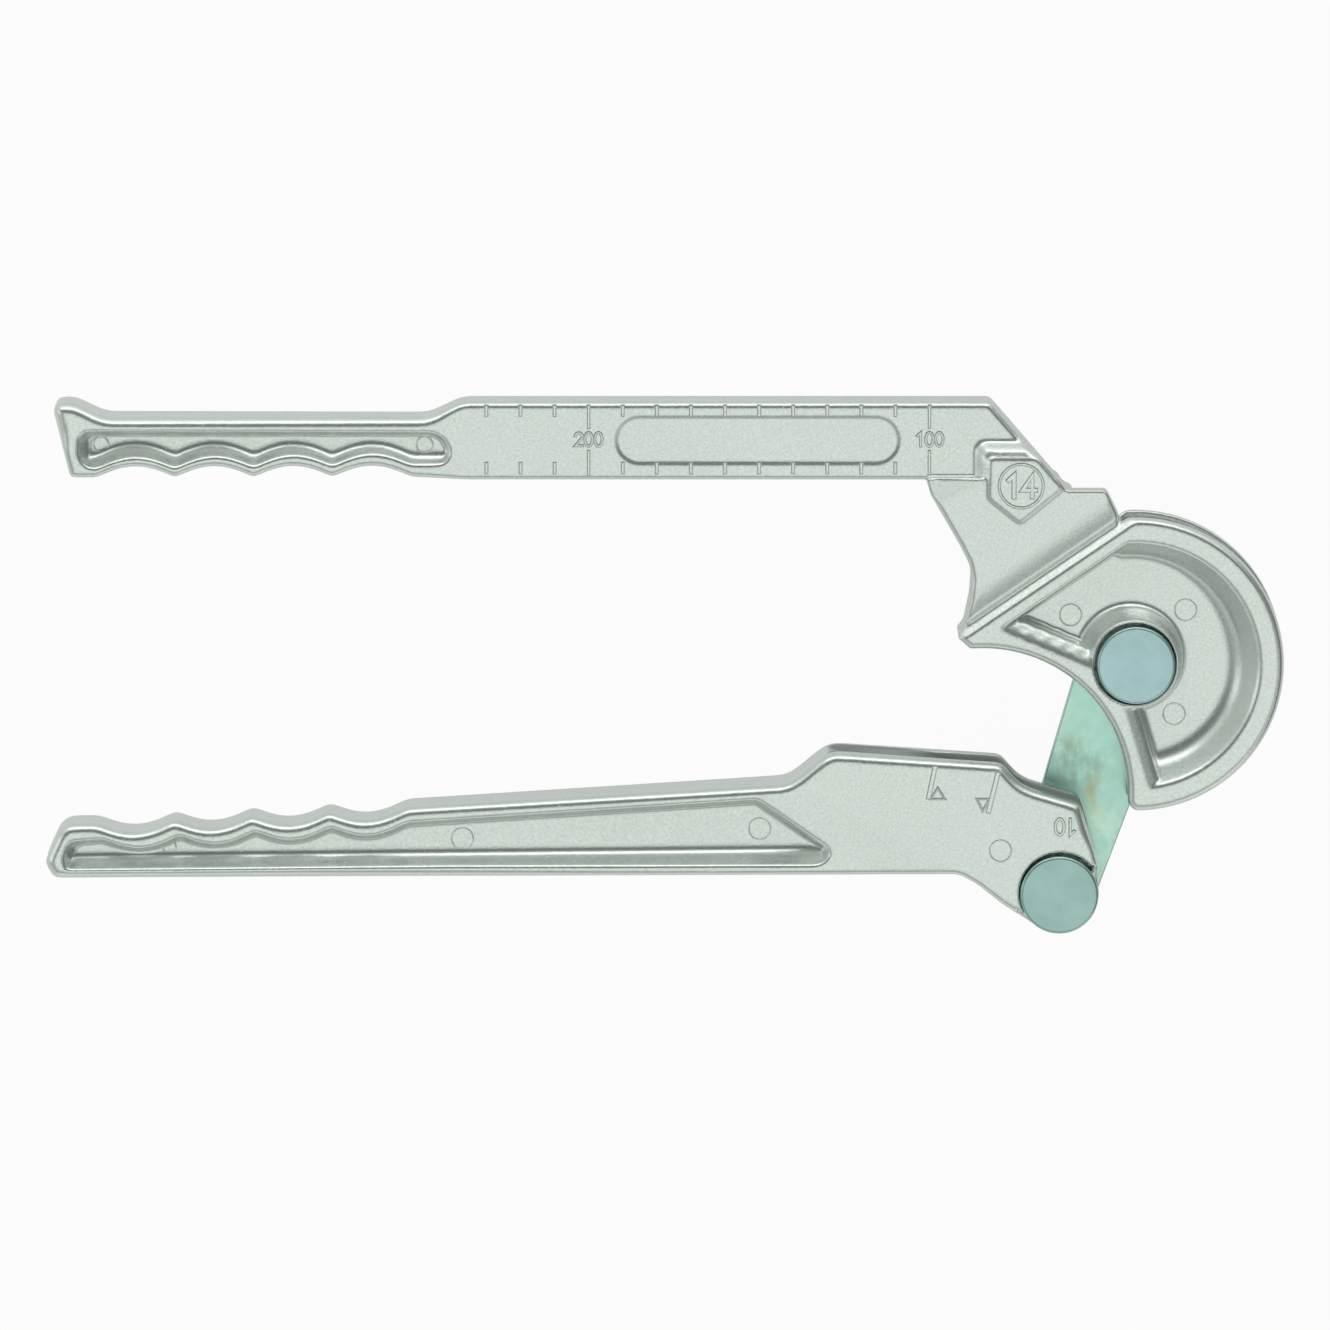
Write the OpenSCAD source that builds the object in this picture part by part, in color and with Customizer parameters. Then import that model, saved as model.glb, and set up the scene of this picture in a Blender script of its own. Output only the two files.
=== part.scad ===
// Two-handled bender for one tube size.
// A handle casting carries the half-round former, a lever casting carries the sliding groove,
// and one steel link at the back joins the bend axis to the lever pivot.
// Millimetres. The origin lies on the bend axis in the middle plane of the tube.
// X runs along the handles, Y points from the bend axis to the handle, Z points to the front.

/* [Tube] */
// Outside diameter of the tube that is bent
tube_d = 14; // [12:0.5:15]
// Bend radius, measured to the middle of the tube
bend_r = 43; // [41:0.5:46]
// Radial play of the tube in both grooves
tube_play = 0.1; // [0.05:0.05:0.3]

/* [Former] */
// Thickness of the former over both flanges
former_t = 22; // [20:0.5:24]
// Height of the flange above the middle of the tube
flange_lip = 0.5; // [0:0.1:1.5]
// Width of the flat rim on the front and back face
rim_w = 7.2; // [5:0.1:8]
// Radial run of the sloping wall inside the rim
rim_slope = 8; // [4:0.5:10]
// Thickness of the web between the front and back pocket
web_t = 7; // [5:0.5:9]
// Distance of the straight flange edge from the bend axis
edge_dist = 37.3; // [36:0.1:39]
// Width of the flat along the straight flange edge
edge_w = 6; // [4:0.5:8]
// Slope of the straight flange edge in degrees
edge_slope = 34.5; // [30:0.5:38]
// Least wall between the back pocket and the tube way
way_wall = 3; // [2:0.5:5]
// Diameter of the pivot boss at the pocket floor
boss_d = 36; // [32:0.5:38]

/* [Handle] */
// Distance from the bend axis to the end of the handle grip
handle_len = 318; // [280:1:360]
// Length of the scalloped grip
grip_len = 107; // [100:1:120]
// Thickness of both grips
grip_t = 20; // [18:0.5:24]
// Height of the grip below its flat top edge
grip_h = 18.3; // [16:0.1:22]
// Height of the straight beam between grip and neck
beam_h = 23.1; // [20:0.1:26]
// Thickness of the straight beam
beam_t = 16; // [16:0.5:18]
// Gap between the tube groove and the beam
beam_gap = 4.5; // [3:0.5:6]
// Number of finger scallops on each grip
scallop_n = 4; // [3:1:5]
// Depth of a finger scallop
scallop_depth = 3.3; // [1:0.1:4]
// Depth of the pockets in grips and lever
pocket_depth = 5; // [3:0.5:7]
// Inward slope of the pocket walls over their depth
pocket_draft = 2.2; // [0.5:0.1:2.5]
// Length of the bare oval panel in the beam
panel_len = 84; // [60:1:90]
// Height of the bare oval panel in the beam
panel_h = 14; // [10:0.5:16]
// Depth of the bare oval panel in the beam
panel_depth = 0.5; // [0.2:0.1:0.8]

/* [Neck] */
// Distance from the bend axis to the outer corner of the neck under the beam
neck_len = 62; // [58:0.5:68]
// Height of the neck face above the middle plane
neck_z = 11.5; // [11.5:0.1:15]
// Extra height of the number pad above the neck face
pad_rise = 0.6; // [0.2:0.1:1.5]
// Thickness of the hook lip over the tube
hook_lip = 1.9; // [1.5:0.1:3]
// Radius of the hollow between neck and flange
valley_r = 9; // [7:0.5:12]

/* [Lever] */
// Distance from the lever pivot to the end of the lever grip
lever_len = 299; // [260:1:340]
// Length of the scalloped grip of the lever
lever_grip_len = 91.2; // [85:0.1:105]
// Fall of the upper edge along the arm in degrees
arm_fall = 3.53; // [2.5:0.01:4]
// Fall of the upper edge along the lever grip in degrees
grip_fall = 3.04; // [2:0.01:4]
// Thickness of the lever at the groove
shoe_t = 24; // [22:0.5:26]
// Length of the grooved top from the lever pivot to its outer corner
shoe_len = 65.6; // [60:0.1:72]
// Distance from the lever pivot to the bottom of the groove
groove_floor = 21.5; // [20:0.1:24]
// Slope of the groove against the lever in degrees
groove_slope = 16.6; // [14:0.1:18]
// Radius of the lever lug round its pivot
lug_r = 11.8; // [11.5:0.1:13]

/* [Link] */
// Thickness of the link plate
link_t = 5; // [4:0.5:6]
// Radius of the link end at the bend axis
link_former_r = 14.9; // [13:0.1:17]
// Radius of the link end at the lever pivot
link_lever_r = 12.3; // [11.5:0.1:14]
// Lean of the link from straight down in the folded pose, in degrees
link_lean = 18.2; // [16:0.1:20]

/* [Pivots] */
// Diameter of the bearing length of both pins
pin_d = 14; // [12:0.5:15]
// Diameter of the pin heads
head_d = 23; // [21:0.5:24]
// Thickness of the pin heads
head_t = 3.6; // [3:0.1:4]
// Diameter of the pin tails in the link
tail_d = 10; // [8:0.5:11]
// Thickness of the thrust washers between castings and link
thrust_t = 0.8; // [0.6:0.1:1.2]
// Outside diameter of the thrust washers
thrust_d = 22; // [20:0.5:23]
// Thickness of the washers behind the link
washer_t = 1.2; // [1:0.1:1.6]
// Thickness of the retaining rings
ring_t = 1; // [0.8:0.1:1.2]
// Radial clearance of the running fits
run_fit = 0.05; // [0.02:0.01:0.09]

/* [Hidden] */
$fn = 64;

cast_color = [0.80, 0.83, 0.80];
link_color = [0.55, 0.72, 0.66];
steel_color = [0.66, 0.76, 0.80];
dark_color = [0.22, 0.22, 0.24];

eps = 0.01;
axial_play = 0.05;
groove_r = tube_d / 2 + tube_play;
flange_r = bend_r + flange_lip;
former_z = former_t / 2;
grip_z = grip_t / 2;
beam_z = beam_t / 2;
shoe_z = shoe_t / 2;

tube_top = bend_r + groove_r;
beam_y0 = tube_top + beam_gap;
beam_y1 = beam_y0 + beam_h;
grip_y0 = beam_y0 + 0.8;
grip_y1 = grip_y0 + grip_h - 0.6;
grip_x1 = grip_len - handle_len;
beam_x0 = grip_x1 + 14;
hook_y1 = tube_top + hook_lip;
slant_top = [-0.694 * neck_len, beam_y1];
slant_low = [-0.339 * neck_len, hook_y1];
hook_end = [-0.145 * neck_len, hook_y1];
way_len = 1.3 * neck_len;
through = 4 * former_t;

edge_u = [cos(edge_slope), sin(edge_slope)];
edge_n = [-sin(edge_slope), cos(edge_slope)];
edge_end = sqrt(flange_r * flange_r - edge_dist * edge_dist);
edge_end_a = 90 + edge_slope - acos(edge_dist / flange_r);
tip_u = -0.865 * flange_r;
relief_c = [-1.035 * flange_r, -0.875 * flange_r];
relief_r = 0.985 * flange_r;
relief_a0 = -4;
relief_a1 = 95;

link_len = tube_top + groove_floor;
pivot = [-link_len * sin(link_lean), -link_len * cos(link_lean)];
axis_seen = -pivot;
groove_u = [cos(groove_slope), -sin(groove_slope)];
groove_n = [sin(groove_slope), cos(groove_slope)];
floor_h = axis_seen * groove_n - tube_top;
shoe_out = [-shoe_len, (floor_h + shoe_len * groove_n[0]) / groove_n[1]];
shoe_in = [-0.259 * shoe_len, shoe_out[1] - 3.2];
lug_h = floor_h + 0.83 * groove_r;
lug_tip = [6.2, (lug_h - 6.2 * groove_n[0]) / groove_n[1]];
lug_in = [-8.6, (lug_h + 8.6 * groove_n[0]) / groove_n[1]];
arm_y0 = 5.2;
arm_in = [-shoe_len - 16.7, shoe_out[1] - 9.7];
arm_out_x = 15.5 + lever_grip_len - lever_len;
arm_out = [arm_out_x, arm_in[1] - (arm_in[0] - arm_out_x) * tan(arm_fall)];
grip_out = arm_out - lever_grip_len * [1, tan(grip_fall)];

boss_z = -shoe_z;
thrust_z = boss_z - axial_play;
link_z = thrust_z - thrust_t;
washer_z = link_z - link_t;
ring_z = washer_z - washer_t;
tail_z = ring_z - ring_t - 1.4;
ring_groove_r = tail_d / 2 - 0.6;
head_seat_former = former_z - head_t + 0.6;
head_seat_lever = shoe_z - 1.6;
head_play = 0.8;

function arc(c, r, a0, a1, n = 16) =
    [for (i = [0:n]) c + r * [cos(a0 + (a1 - a0) * i / n), sin(a0 + (a1 - a0) * i / n)]];

function ease(p, q, n = 8) =
    [for (i = [0:n]) let (t = i / n) [p[0] + (q[0] - p[0]) * t, p[1] + (q[1] - p[1]) * t * t * (3 - 2 * t)]];

function scallops(p, q, depth, m = 8) =
    [for (i = [0:scallop_n * m]) p + (q - p) * i / (scallop_n * m) + [0, depth * sin(180 * (i % m) / m)]];

function unit(v) = v / norm(v);

function left_normal(p, q) = let (d = unit(q - p)) [-d[1], d[0]];

function inset(pts, d) = let (n = len(pts))
    [for (i = [0:n - 1])
        let (a = left_normal(pts[(i + n - 1) % n], pts[i]), b = left_normal(pts[i], pts[(i + 1) % n]))
        pts[i] + (a + b) * d / (1 + a * b)];

// Pocket with sloping walls, cut downward from the height z; the outline runs anticlockwise.
module sloped_pocket(outline, z, depth, draft) {
    n = len(outline);
    over = 1;
    top = inset(outline, -draft * over / depth);
    low = inset(outline, draft);
    points = concat([for (p = low) [p[0], p[1], z - depth]], [for (p = top) [p[0], p[1], z + over]]);
    sides = [for (i = [0:n - 1]) [i, n + i, n + (i + 1) % n, (i + 1) % n]];
    polyhedron(points, concat([[for (i = [0:n - 1]) i]], [[for (i = [n - 1:-1:0]) n + i]], sides));
}

// The same pocket on the front and the back face.
module both_pockets(outline, z) {
    sloped_pocket(outline, z, pocket_depth, pocket_draft);
    mirror([0, 0, 1]) sloped_pocket(outline, z, pocket_depth, pocket_draft);
}

module grip_outline() {
    polygon(concat(
        [[5 - handle_len, grip_y0]],
        scallops([12.6 - handle_len, grip_y0], [grip_x1 - 2, grip_y0], scallop_depth),
        [[beam_x0, beam_y0], [beam_x0, beam_y1]],
        ease([beam_x0 - 2, beam_y1], [beam_x0 - 14, grip_y1]),
        ease([17 - handle_len, grip_y1], [4 - handle_len, beam_y1 - 0.2]),
        [[1 - handle_len, beam_y1 - 0.6], [-handle_len, beam_y1 - 2.5]]));
}

// Grip block, thinned by two long flat ramps toward the beam.
module grip_block() {
    run = grip_len - 10;
    ramp = atan((grip_z - beam_z) / run);
    difference() {
        linear_extrude(grip_t, center = true) grip_outline();
        for (s = [0, 1]) mirror([0, 0, s])
            translate([beam_x0, grip_y0 - 10, beam_z]) rotate([0, ramp, 0])
                translate([-run - 40, 0, 0]) cube([run + 60, 60, 10]);
    }
}

module grip_pocket() {
    rim = 2.6;
    x0 = 8.1 - handle_len;
    x1 = beam_x0 - 5;
    y1 = grip_y1 - 4;
    both_pockets(concat(
        [[x0 + 1.5, grip_y0 + rim]],
        scallops([12.6 - handle_len, grip_y0 + rim], [grip_x1 - 2, grip_y0 + rim], scallop_depth),
        [[x1 - 3, grip_y0 + rim + 2], [x1, grip_y0 + 6.5], [x1 - 0.6, y1 - 2], [x1 - 2.8, y1],
        [x0 + 0.6, y1], [x0 - 1.6, y1 - 2.6]]), grip_z);
}

module beam_block() {
    linear_extrude(beam_t, center = true)
        polygon([[beam_x0 - eps, beam_y0], [-neck_len, beam_y0], slant_low, slant_top,
            [beam_x0 - eps, beam_y1]]);
}

// Shallow oval panel, left bare.
module beam_panel() {
    r = panel_h / 2;
    x1 = -neck_len - 2 * r;
    x0 = x1 - panel_len + 2 * r;
    y = (beam_y0 + beam_y1) / 2;
    translate([0, 0, beam_z - panel_depth]) {
        for (x = [x0, x1]) translate([x, y, 0]) cylinder(r = r, h = 2);
        translate([x0, y - r, 0]) cube([x1 - x0, 2 * r, 2]);
    }
}

function neck_outline() = [
    [-neck_len, beam_y0 + eps], [1.4 - neck_len, beam_y0 - 4],
    [-0.835 * neck_len, 0.82 * bend_r], [-0.794 * neck_len, 0.70 * bend_r],
    [-0.781 * neck_len, 0.60 * bend_r], [-0.787 * neck_len, 0.46 * bend_r],
    [-0.811 * neck_len, 0.29 * bend_r],
    edge_n * edge_dist + edge_u * tip_u, edge_n * edge_dist + edge_u * (edge_end - 3.4),
    [-0.085 * neck_len, bend_r + 1.9], hook_end, slant_low, slant_low + [-2.4, beam_y0 + eps - slant_low[1]]];

// Front web of the hook with the hollow along the flange and the facet under the beam.
module neck_block() {
    difference() {
        translate([0, 0, -beam_z]) linear_extrude(beam_z + neck_z) polygon(neck_outline());
        rotate([0, 0, edge_slope])
            translate([-way_len, edge_dist + 4, former_z - 1.4 + valley_r])
                rotate([0, 90, 0]) cylinder(r = valley_r, h = way_len + neck_len);
        translate([4.7 - neck_len, beam_y0 - 6.4, neck_z]) rotate([0, 0, 24.4]) rotate([-45, 0, 0])
            translate([-20, 0, 0]) cube([neck_len, 30, 20]);
    }
}

// Raised pad for the size number, with sloping sides.
module number_pad() {
    low = [-0.565 * neck_len, bend_r];
    x0 = -0.72 * neck_len;
    y1 = beam_y0 + 0.467 * beam_h;
    run = 2.4;
    hull() {
        translate([0, 0, beam_z - 1]) linear_extrude(1)
            polygon([[x0 - run, y1 + run], [-0.56 * neck_len, y1 + run], slant_low, low,
                [x0 - run, beam_y0 - 3]]);
        translate([0, 0, neck_z - 1]) linear_extrude(1 + pad_rise)
            polygon([[x0, y1], [-0.548 * neck_len, y1], slant_low + [-1.2, 0.6], low, [x0, beam_y0 - 3]]);
    }
}

module former_outline() {
    polygon(concat(
        arc([0, 0], flange_r, edge_end_a, -90, 64),
        [[-1.4, 1.2 - flange_r]],
        arc(relief_c, relief_r, relief_a0, relief_a1, 32),
        [edge_n * (edge_dist - 3.6) + edge_u * (tip_u - 0.4),
        edge_n * (edge_dist - 1.2) + edge_u * (tip_u - 1.2),
        edge_n * edge_dist + edge_u * tip_u]));
}

// Pocket between the rim and the pivot boss on one face, up to a distance from the axis.
module former_pocket(in_dist) {
    floor_z = web_t / 2;
    low_z = floor_z - 1;
    top_z = former_z + 1;
    rim_run = rim_slope / (former_z - floor_z);
    boss_run = 0.4;
    boss_r = boss_d / 2;
    in_r = flange_r - rim_w;
    out_r = 1.5 * flange_r;
    a0 = -81;
    a1 = 90 + edge_slope - acos(in_dist / (in_r - 0.5));
    difference() {
        translate([0, 0, floor_z]) linear_extrude(former_z - floor_z + 0.5) polygon([
            edge_n * in_dist + edge_u * (tip_u + 13), [-17.5, 2.6], boss_r / 2 * [cos(a0), sin(a0)],
            out_r * [cos(a0), sin(a0)], out_r * [cos(-40), sin(-40)], [out_r, 0],
            edge_n * in_dist + edge_u * out_r]);
        rotate([0, 0, a0 - 15]) rotate_extrude(angle = a1 - a0 + 15) polygon([
            [in_r - rim_run * (former_z - low_z), low_z], [2 * out_r, low_z], [2 * out_r, top_z],
            [in_r + rim_run * (top_z - former_z), top_z]]);
        translate([0, 0, low_z]) cylinder(r1 = boss_r + boss_run * (floor_z - low_z),
            r2 = boss_r - boss_run * (top_z - floor_z), h = top_z - low_z);
    }
}

// Half-round groove of the former, with straight sides out to the flange.
module bend_groove() {
    rotate([0, 0, -94]) rotate_extrude(angle = 184) union() {
        translate([bend_r, 0]) circle(r = groove_r);
        translate([bend_r, -groove_r]) square([10, 2 * groove_r]);
    }
}

// Straight tube way through the hook, open at the back.
module hook_way() {
    translate([-way_len, bend_r, 0]) rotate([0, 90, 0]) cylinder(r = groove_r, h = way_len);
    translate([-way_len, bend_r - groove_r, -former_t]) cube([way_len, 2 * groove_r, former_t]);
}

module pin_bore() {
    cylinder(r = pin_d / 2 + run_fit, h = through, center = true);
}

module former_handle() {
    color(cast_color) difference() {
        union() {
            grip_block();
            beam_block();
            neck_block();
            number_pad();
            linear_extrude(former_t, center = true) former_outline();
            translate([0, 0, boss_z]) cylinder(d = thrust_d + 6, h = shoe_z);
        }
        grip_pocket();
        beam_panel();
        former_pocket(edge_dist - edge_w);
        mirror([0, 0, 1]) former_pocket((bend_r - groove_r - way_wall) * edge_n[1]);
        bend_groove();
        hook_way();
        pin_bore();
        translate([0, 0, head_seat_former]) cylinder(r = head_d / 2 + head_play, h = former_t);
    }
}

module arm_outline() {
    polygon(concat(
        [[-lever_len, arm_y0 + 4.6], [2.6 - lever_len, arm_y0]],
        [[-29.4, arm_y0 + 0.6], [-29.4, 20], arm_in],
        [for (p = scallops(arm_out, grip_out, -scallop_depth)) p],
        [[7 - lever_len, grip_out[1] - 0.2], [4.2 - lever_len, grip_out[1] - 2.2]]));
}

// Shape of the grooved end, from the step at the arm to the lug.
module shoe_outline() {
    inner = atan2(shoe_in[1] - axis_seen[1], shoe_in[0] - axis_seen[0]);
    polygon(concat(
        ease(arm_in + [-0.4, -0.1], shoe_out, 10),
        [shoe_in],
        arc(axis_seen, norm(axis_seen - shoe_in), inner + 1, inner + 9.5, 5),
        [lug_in, lug_tip, [11.2, 9.2]],
        arc([0, 0], lug_r, 20, -122, 24),
        [[-17.6, -2.5], [-23.8, 2.6], [-29.4, arm_y0 + 0.6], [6 - shoe_len, arm_y0 + 0.4],
        arm_in - [17.7, 6]]));
}

// Grooved end, thinned by two flat ramps where it runs into the arm.
module shoe_block() {
    slope = atan2(arm_in[1] - arm_y0, arm_in[0] + 33);
    difference() {
        linear_extrude(shoe_t, center = true) shoe_outline();
        for (s = [0, 1]) mirror([0, 0, s])
            translate([-33, arm_y0, shoe_z]) rotate([0, 0, slope]) rotate([-11, 0, 0])
                translate([-40, 0, 0]) cube([160, 60, 10]);
    }
}

module arm_pocket() {
    rim = 4.6;
    both_pockets(concat(
        [[8 - lever_len, arm_y0 + 2.6], [-5.9 - shoe_len, arm_y0 + 3], [-3.2 - shoe_len, arm_y0 + 4.6],
        [-2.2 - shoe_len, arm_y0 + 7.6]],
        [arm_in + [-7, 0.1 - rim], arm_in + [-9, -0.2 - rim]],
        scallops(arm_out + [0, -rim], grip_out + [2, -rim], -scallop_depth),
        [[8.5 - lever_len, grip_out[1] - rim - 1], [6 - lever_len, arm_y0 + 5.6]]), grip_z);
}

// Half-round groove that runs from the lug to the outer corner of the grooved end.
module lever_groove() {
    rotate([0, 0, -groove_slope]) translate([0, floor_h + groove_r, 0]) {
        translate([-120, 0, 0]) rotate([0, 90, 0]) cylinder(r = groove_r, h = 160);
        translate([-120, 0, -groove_r]) cube([160, 40, 2 * groove_r]);
    }
}

module slide_lever() {
    color(cast_color) translate([pivot[0], pivot[1], 0]) difference() {
        union() {
            linear_extrude(grip_t, center = true) arm_outline();
            shoe_block();
        }
        arm_pocket();
        lever_groove();
        pin_bore();
        translate([0, 0, head_seat_lever]) cylinder(r = head_d / 2 + head_play, h = shoe_t);
    }
}

module link_plate() {
    gap = asin((link_former_r - link_lever_r) / link_len);
    a = 270 - link_lean;
    hole = tail_d / 2 + run_fit;
    color(link_color) translate([0, 0, link_z - link_t]) linear_extrude(link_t) difference() {
        polygon(concat(
            arc([0, 0], link_former_r, a + 90 + gap, a - 90 - gap + 360, 48),
            arc(pivot, link_lever_r, a - 90 - gap, a + 90 + gap, 48)));
        circle(r = hole);
        translate(pivot) circle(r = hole);
    }
}

// Shouldered pin: domed head, bearing length, and a grooved tail for the ring.
module shoulder_pin(seat) {
    edge = 0.7;
    rotate_extrude() polygon([[0, tail_z], [tail_d / 2 - 0.5, tail_z], [tail_d / 2, tail_z + 0.5],
        [tail_d / 2, ring_z - ring_t - 0.05], [ring_groove_r, ring_z - ring_t - 0.05],
        [ring_groove_r, ring_z], [tail_d / 2, ring_z], [tail_d / 2, link_z], [pin_d / 2, link_z],
        [pin_d / 2, seat], [head_d / 2, seat], [head_d / 2, seat + head_t - edge],
        [head_d / 2 - edge, seat + head_t], [0, seat + head_t]]);
}

module former_pin() {
    color(steel_color) shoulder_pin(head_seat_former + axial_play);
}

module lever_pin() {
    color(steel_color) translate(pivot) shoulder_pin(head_seat_lever + axial_play);
}

module thrust_washer() {
    translate([0, 0, link_z]) difference() {
        cylinder(d = thrust_d, h = thrust_t);
        translate([0, 0, -1]) cylinder(r = pin_d / 2 + run_fit, h = 4);
    }
}

module back_washer() {
    translate([0, 0, ring_z]) difference() {
        cylinder(d = thrust_d - 2, h = washer_t);
        translate([0, 0, -1]) cylinder(r = tail_d / 2 + run_fit, h = 4);
    }
}

module former_thrust_washer() {
    color(steel_color) thrust_washer();
}

module lever_thrust_washer() {
    color(steel_color) translate(pivot) thrust_washer();
}

module former_back_washer() {
    color(steel_color) back_washer();
}

module lever_back_washer() {
    color(steel_color) translate(pivot) back_washer();
}

// Open retaining ring that snaps into the groove of the pin tail.
module snap_ring() {
    out_r = tail_d / 2 + 2.2;
    translate([0, 0, ring_z - ring_t]) linear_extrude(ring_t) difference() {
        union() {
            circle(r = out_r);
            for (s = [-1, 1]) translate([2.9 * s, -out_r - 0.4]) circle(r = 2);
        }
        circle(r = ring_groove_r + run_fit);
        translate([-1.4, -2 * out_r]) square([2.8, 2 * out_r]);
        for (s = [-1, 1]) translate([2.9 * s, -out_r - 0.6]) circle(r = 0.9);
    }
}

module former_ring() {
    color(dark_color) snap_ring();
}

module lever_ring() {
    color(dark_color) translate(pivot) snap_ring();
}

former_handle();
slide_lever();
link_plate();
former_pin();
lever_pin();
former_thrust_washer();
lever_thrust_washer();
former_back_washer();
lever_back_washer();
former_ring();
lever_ring();
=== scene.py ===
import math
from collections import namedtuple

import bpy
import numpy as np
from mathutils import Matrix, Vector


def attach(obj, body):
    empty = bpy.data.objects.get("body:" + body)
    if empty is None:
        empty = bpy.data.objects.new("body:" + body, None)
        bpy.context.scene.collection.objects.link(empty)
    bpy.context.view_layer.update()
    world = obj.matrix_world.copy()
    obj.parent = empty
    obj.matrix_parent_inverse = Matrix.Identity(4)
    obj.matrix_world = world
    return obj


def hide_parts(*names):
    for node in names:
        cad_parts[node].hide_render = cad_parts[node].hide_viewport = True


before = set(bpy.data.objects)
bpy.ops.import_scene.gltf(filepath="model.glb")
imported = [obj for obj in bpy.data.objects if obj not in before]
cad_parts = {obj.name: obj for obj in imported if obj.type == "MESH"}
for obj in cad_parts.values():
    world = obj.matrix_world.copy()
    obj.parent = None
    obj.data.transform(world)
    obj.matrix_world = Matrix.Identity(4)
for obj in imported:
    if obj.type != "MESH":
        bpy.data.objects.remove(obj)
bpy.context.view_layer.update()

MM = 0.001

# Sizes of the handle and the former in millimetres, taken over from the solids
GROOVE_R = 7.1
BEND_R = 43.0
FLANGE_R = 43.5
FORMER_Z = 11.0
EDGE_DIST = 37.3
EDGE_ANGLE = 34.5
EDGE_SLOPE = math.radians(EDGE_ANGLE)
EDGE_U = np.array([math.cos(EDGE_SLOPE), math.sin(EDGE_SLOPE)])
EDGE_N = np.array([-math.sin(EDGE_SLOPE), math.cos(EDGE_SLOPE)])
BEAM_Y0, BEAM_Y1, BEAM_Z = 54.6, 77.7, 8.0
GRIP_Z, GRIP_Y0, GRIP_Y1 = 10.0, 55.4, 73.1
GRIP_X0, GRIP_X1, BEAM_X0, NECK_X0 = -318.0, -211.0, -197.0, -62.0
NECK_Z, PAD_Z = 11.5, 12.1
HOOK_Y1 = 52.0
SLANT_TOP, SLANT_LOW, HOOK_END = (-43.03, BEAM_Y1), (-21.02, HOOK_Y1), (-9.0, HOOK_Y1)
SCALLOP_DEPTH = 3.3
POCKET_DEPTH = 5

# The pivot's place from the bend axis and the lever's sizes from that pivot, also from the solids
LINK_LEN, LEAN = 71.6, math.radians(18.2)
PIVOT = np.array([-LINK_LEN * math.sin(LEAN), -LINK_LEN * math.cos(LEAN)])
GROOVE_SLOPE = math.radians(16.6)
GROOVE_N = np.array([math.sin(GROOVE_SLOPE), math.cos(GROOVE_SLOPE)])
FLOOR_H = float(-PIVOT @ GROOVE_N) - BEND_R - GROOVE_R
SHOE_Z, SHOE_LEN, LUG_R = 12.0, 65.6, 11.8
SHOE_OUT = np.array([-SHOE_LEN, (FLOOR_H + SHOE_LEN * GROOVE_N[0]) / GROOVE_N[1]])
SHOE_IN = np.array([-17.0, SHOE_OUT[1] - 3.2])
ARM_Y0, ARM_LEN, ARM_FALL = 5.2, 110.0, math.radians(3.53)
ARM_IN = np.array([-82.3, SHOE_OUT[1] - 9.7])
ARM_OUT = ARM_IN - ARM_LEN * np.array([1, math.tan(ARM_FALL)])
LEVER_LEN, LEVER_GRIP_LEN, GRIP_FALL = 299.0, 91.2, math.radians(3.04)
GRIP_OUT = ARM_OUT - LEVER_GRIP_LEN * np.array([1, math.tan(GRIP_FALL)])

# Sizes of the link, the pins and the washers, also from the solids
LINK_FORMER_R, LINK_LEVER_R = 14.9, 12.3
LINK_Z1, LINK_Z0 = -12.85, -17.85
WASHER_Z0, RING_Z0, TAIL_Z = -19.05, -20.05, -21.45
PIN_R, HEAD_R, TAIL_R = 7.0, 11.5, 5.0
HEAD_T, THRUST_T, RING_CUT, PLAY = 3.6, 0.8, 0.6, 0.05
THRUST_R, WASHER_R = 11, 10
FORMER_SEAT_Z, LEVER_SEAT_Z = 8.05, 10.45

# Tilt of the picture from straight above
TILT = math.radians(8.4)

# Spacing of the sample grids, in millimetres
FINE, FINER, COARSE, LAYER = 0.62, 0.56, 2.4, 0.55


# Outlines

def arc(c, r, a0, a1, n):
    t = np.radians(np.linspace(a0, a1, n + 1))
    return np.stack([c[0] + r * np.cos(t), c[1] + r * np.sin(t)], 1)


def circle(c, r, n):
    return arc(c, r, 0, 360, n)[:-1]


def ease(p, q, n=10):
    """Line from p to q that starts and ends level."""
    t = np.linspace(0, 1, n + 1)
    return np.stack([p[0] + (q[0] - p[0]) * t, p[1] + (q[1] - p[1]) * t * t * (3 - 2 * t)], 1)


def scallops(p, q, depth, count=4, m=14):
    """Line from p to q with finger hollows of this depth."""
    i = np.arange(count * m + 1)
    line = np.asarray(p) + np.outer(i / (count * m), np.asarray(q) - np.asarray(p))
    line[:, 1] += depth * np.sin(np.pi * (i % m) / m)
    return line


def simplify(p, tol):
    """The points that keep the line within tol."""
    keep = np.zeros(len(p), bool)
    keep[0] = keep[-1] = True
    stack = [(0, len(p) - 1)]
    while stack:
        a, b = stack.pop()
        if b - a < 2:
            continue
        d = p[b] - p[a]
        w = p[a + 1:b] - p[a]
        n = math.hypot(*d)
        dist = np.abs(w[:, 0] * d[1] - w[:, 1] * d[0]) / n if n > 1e-9 else np.hypot(w[:, 0], w[:, 1])
        i = int(dist.argmax())
        if dist[i] > tol:
            keep[a + 1 + i] = True
            stack += [(a, a + 1 + i), (a + 1 + i, b)]
    return p[keep]


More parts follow.
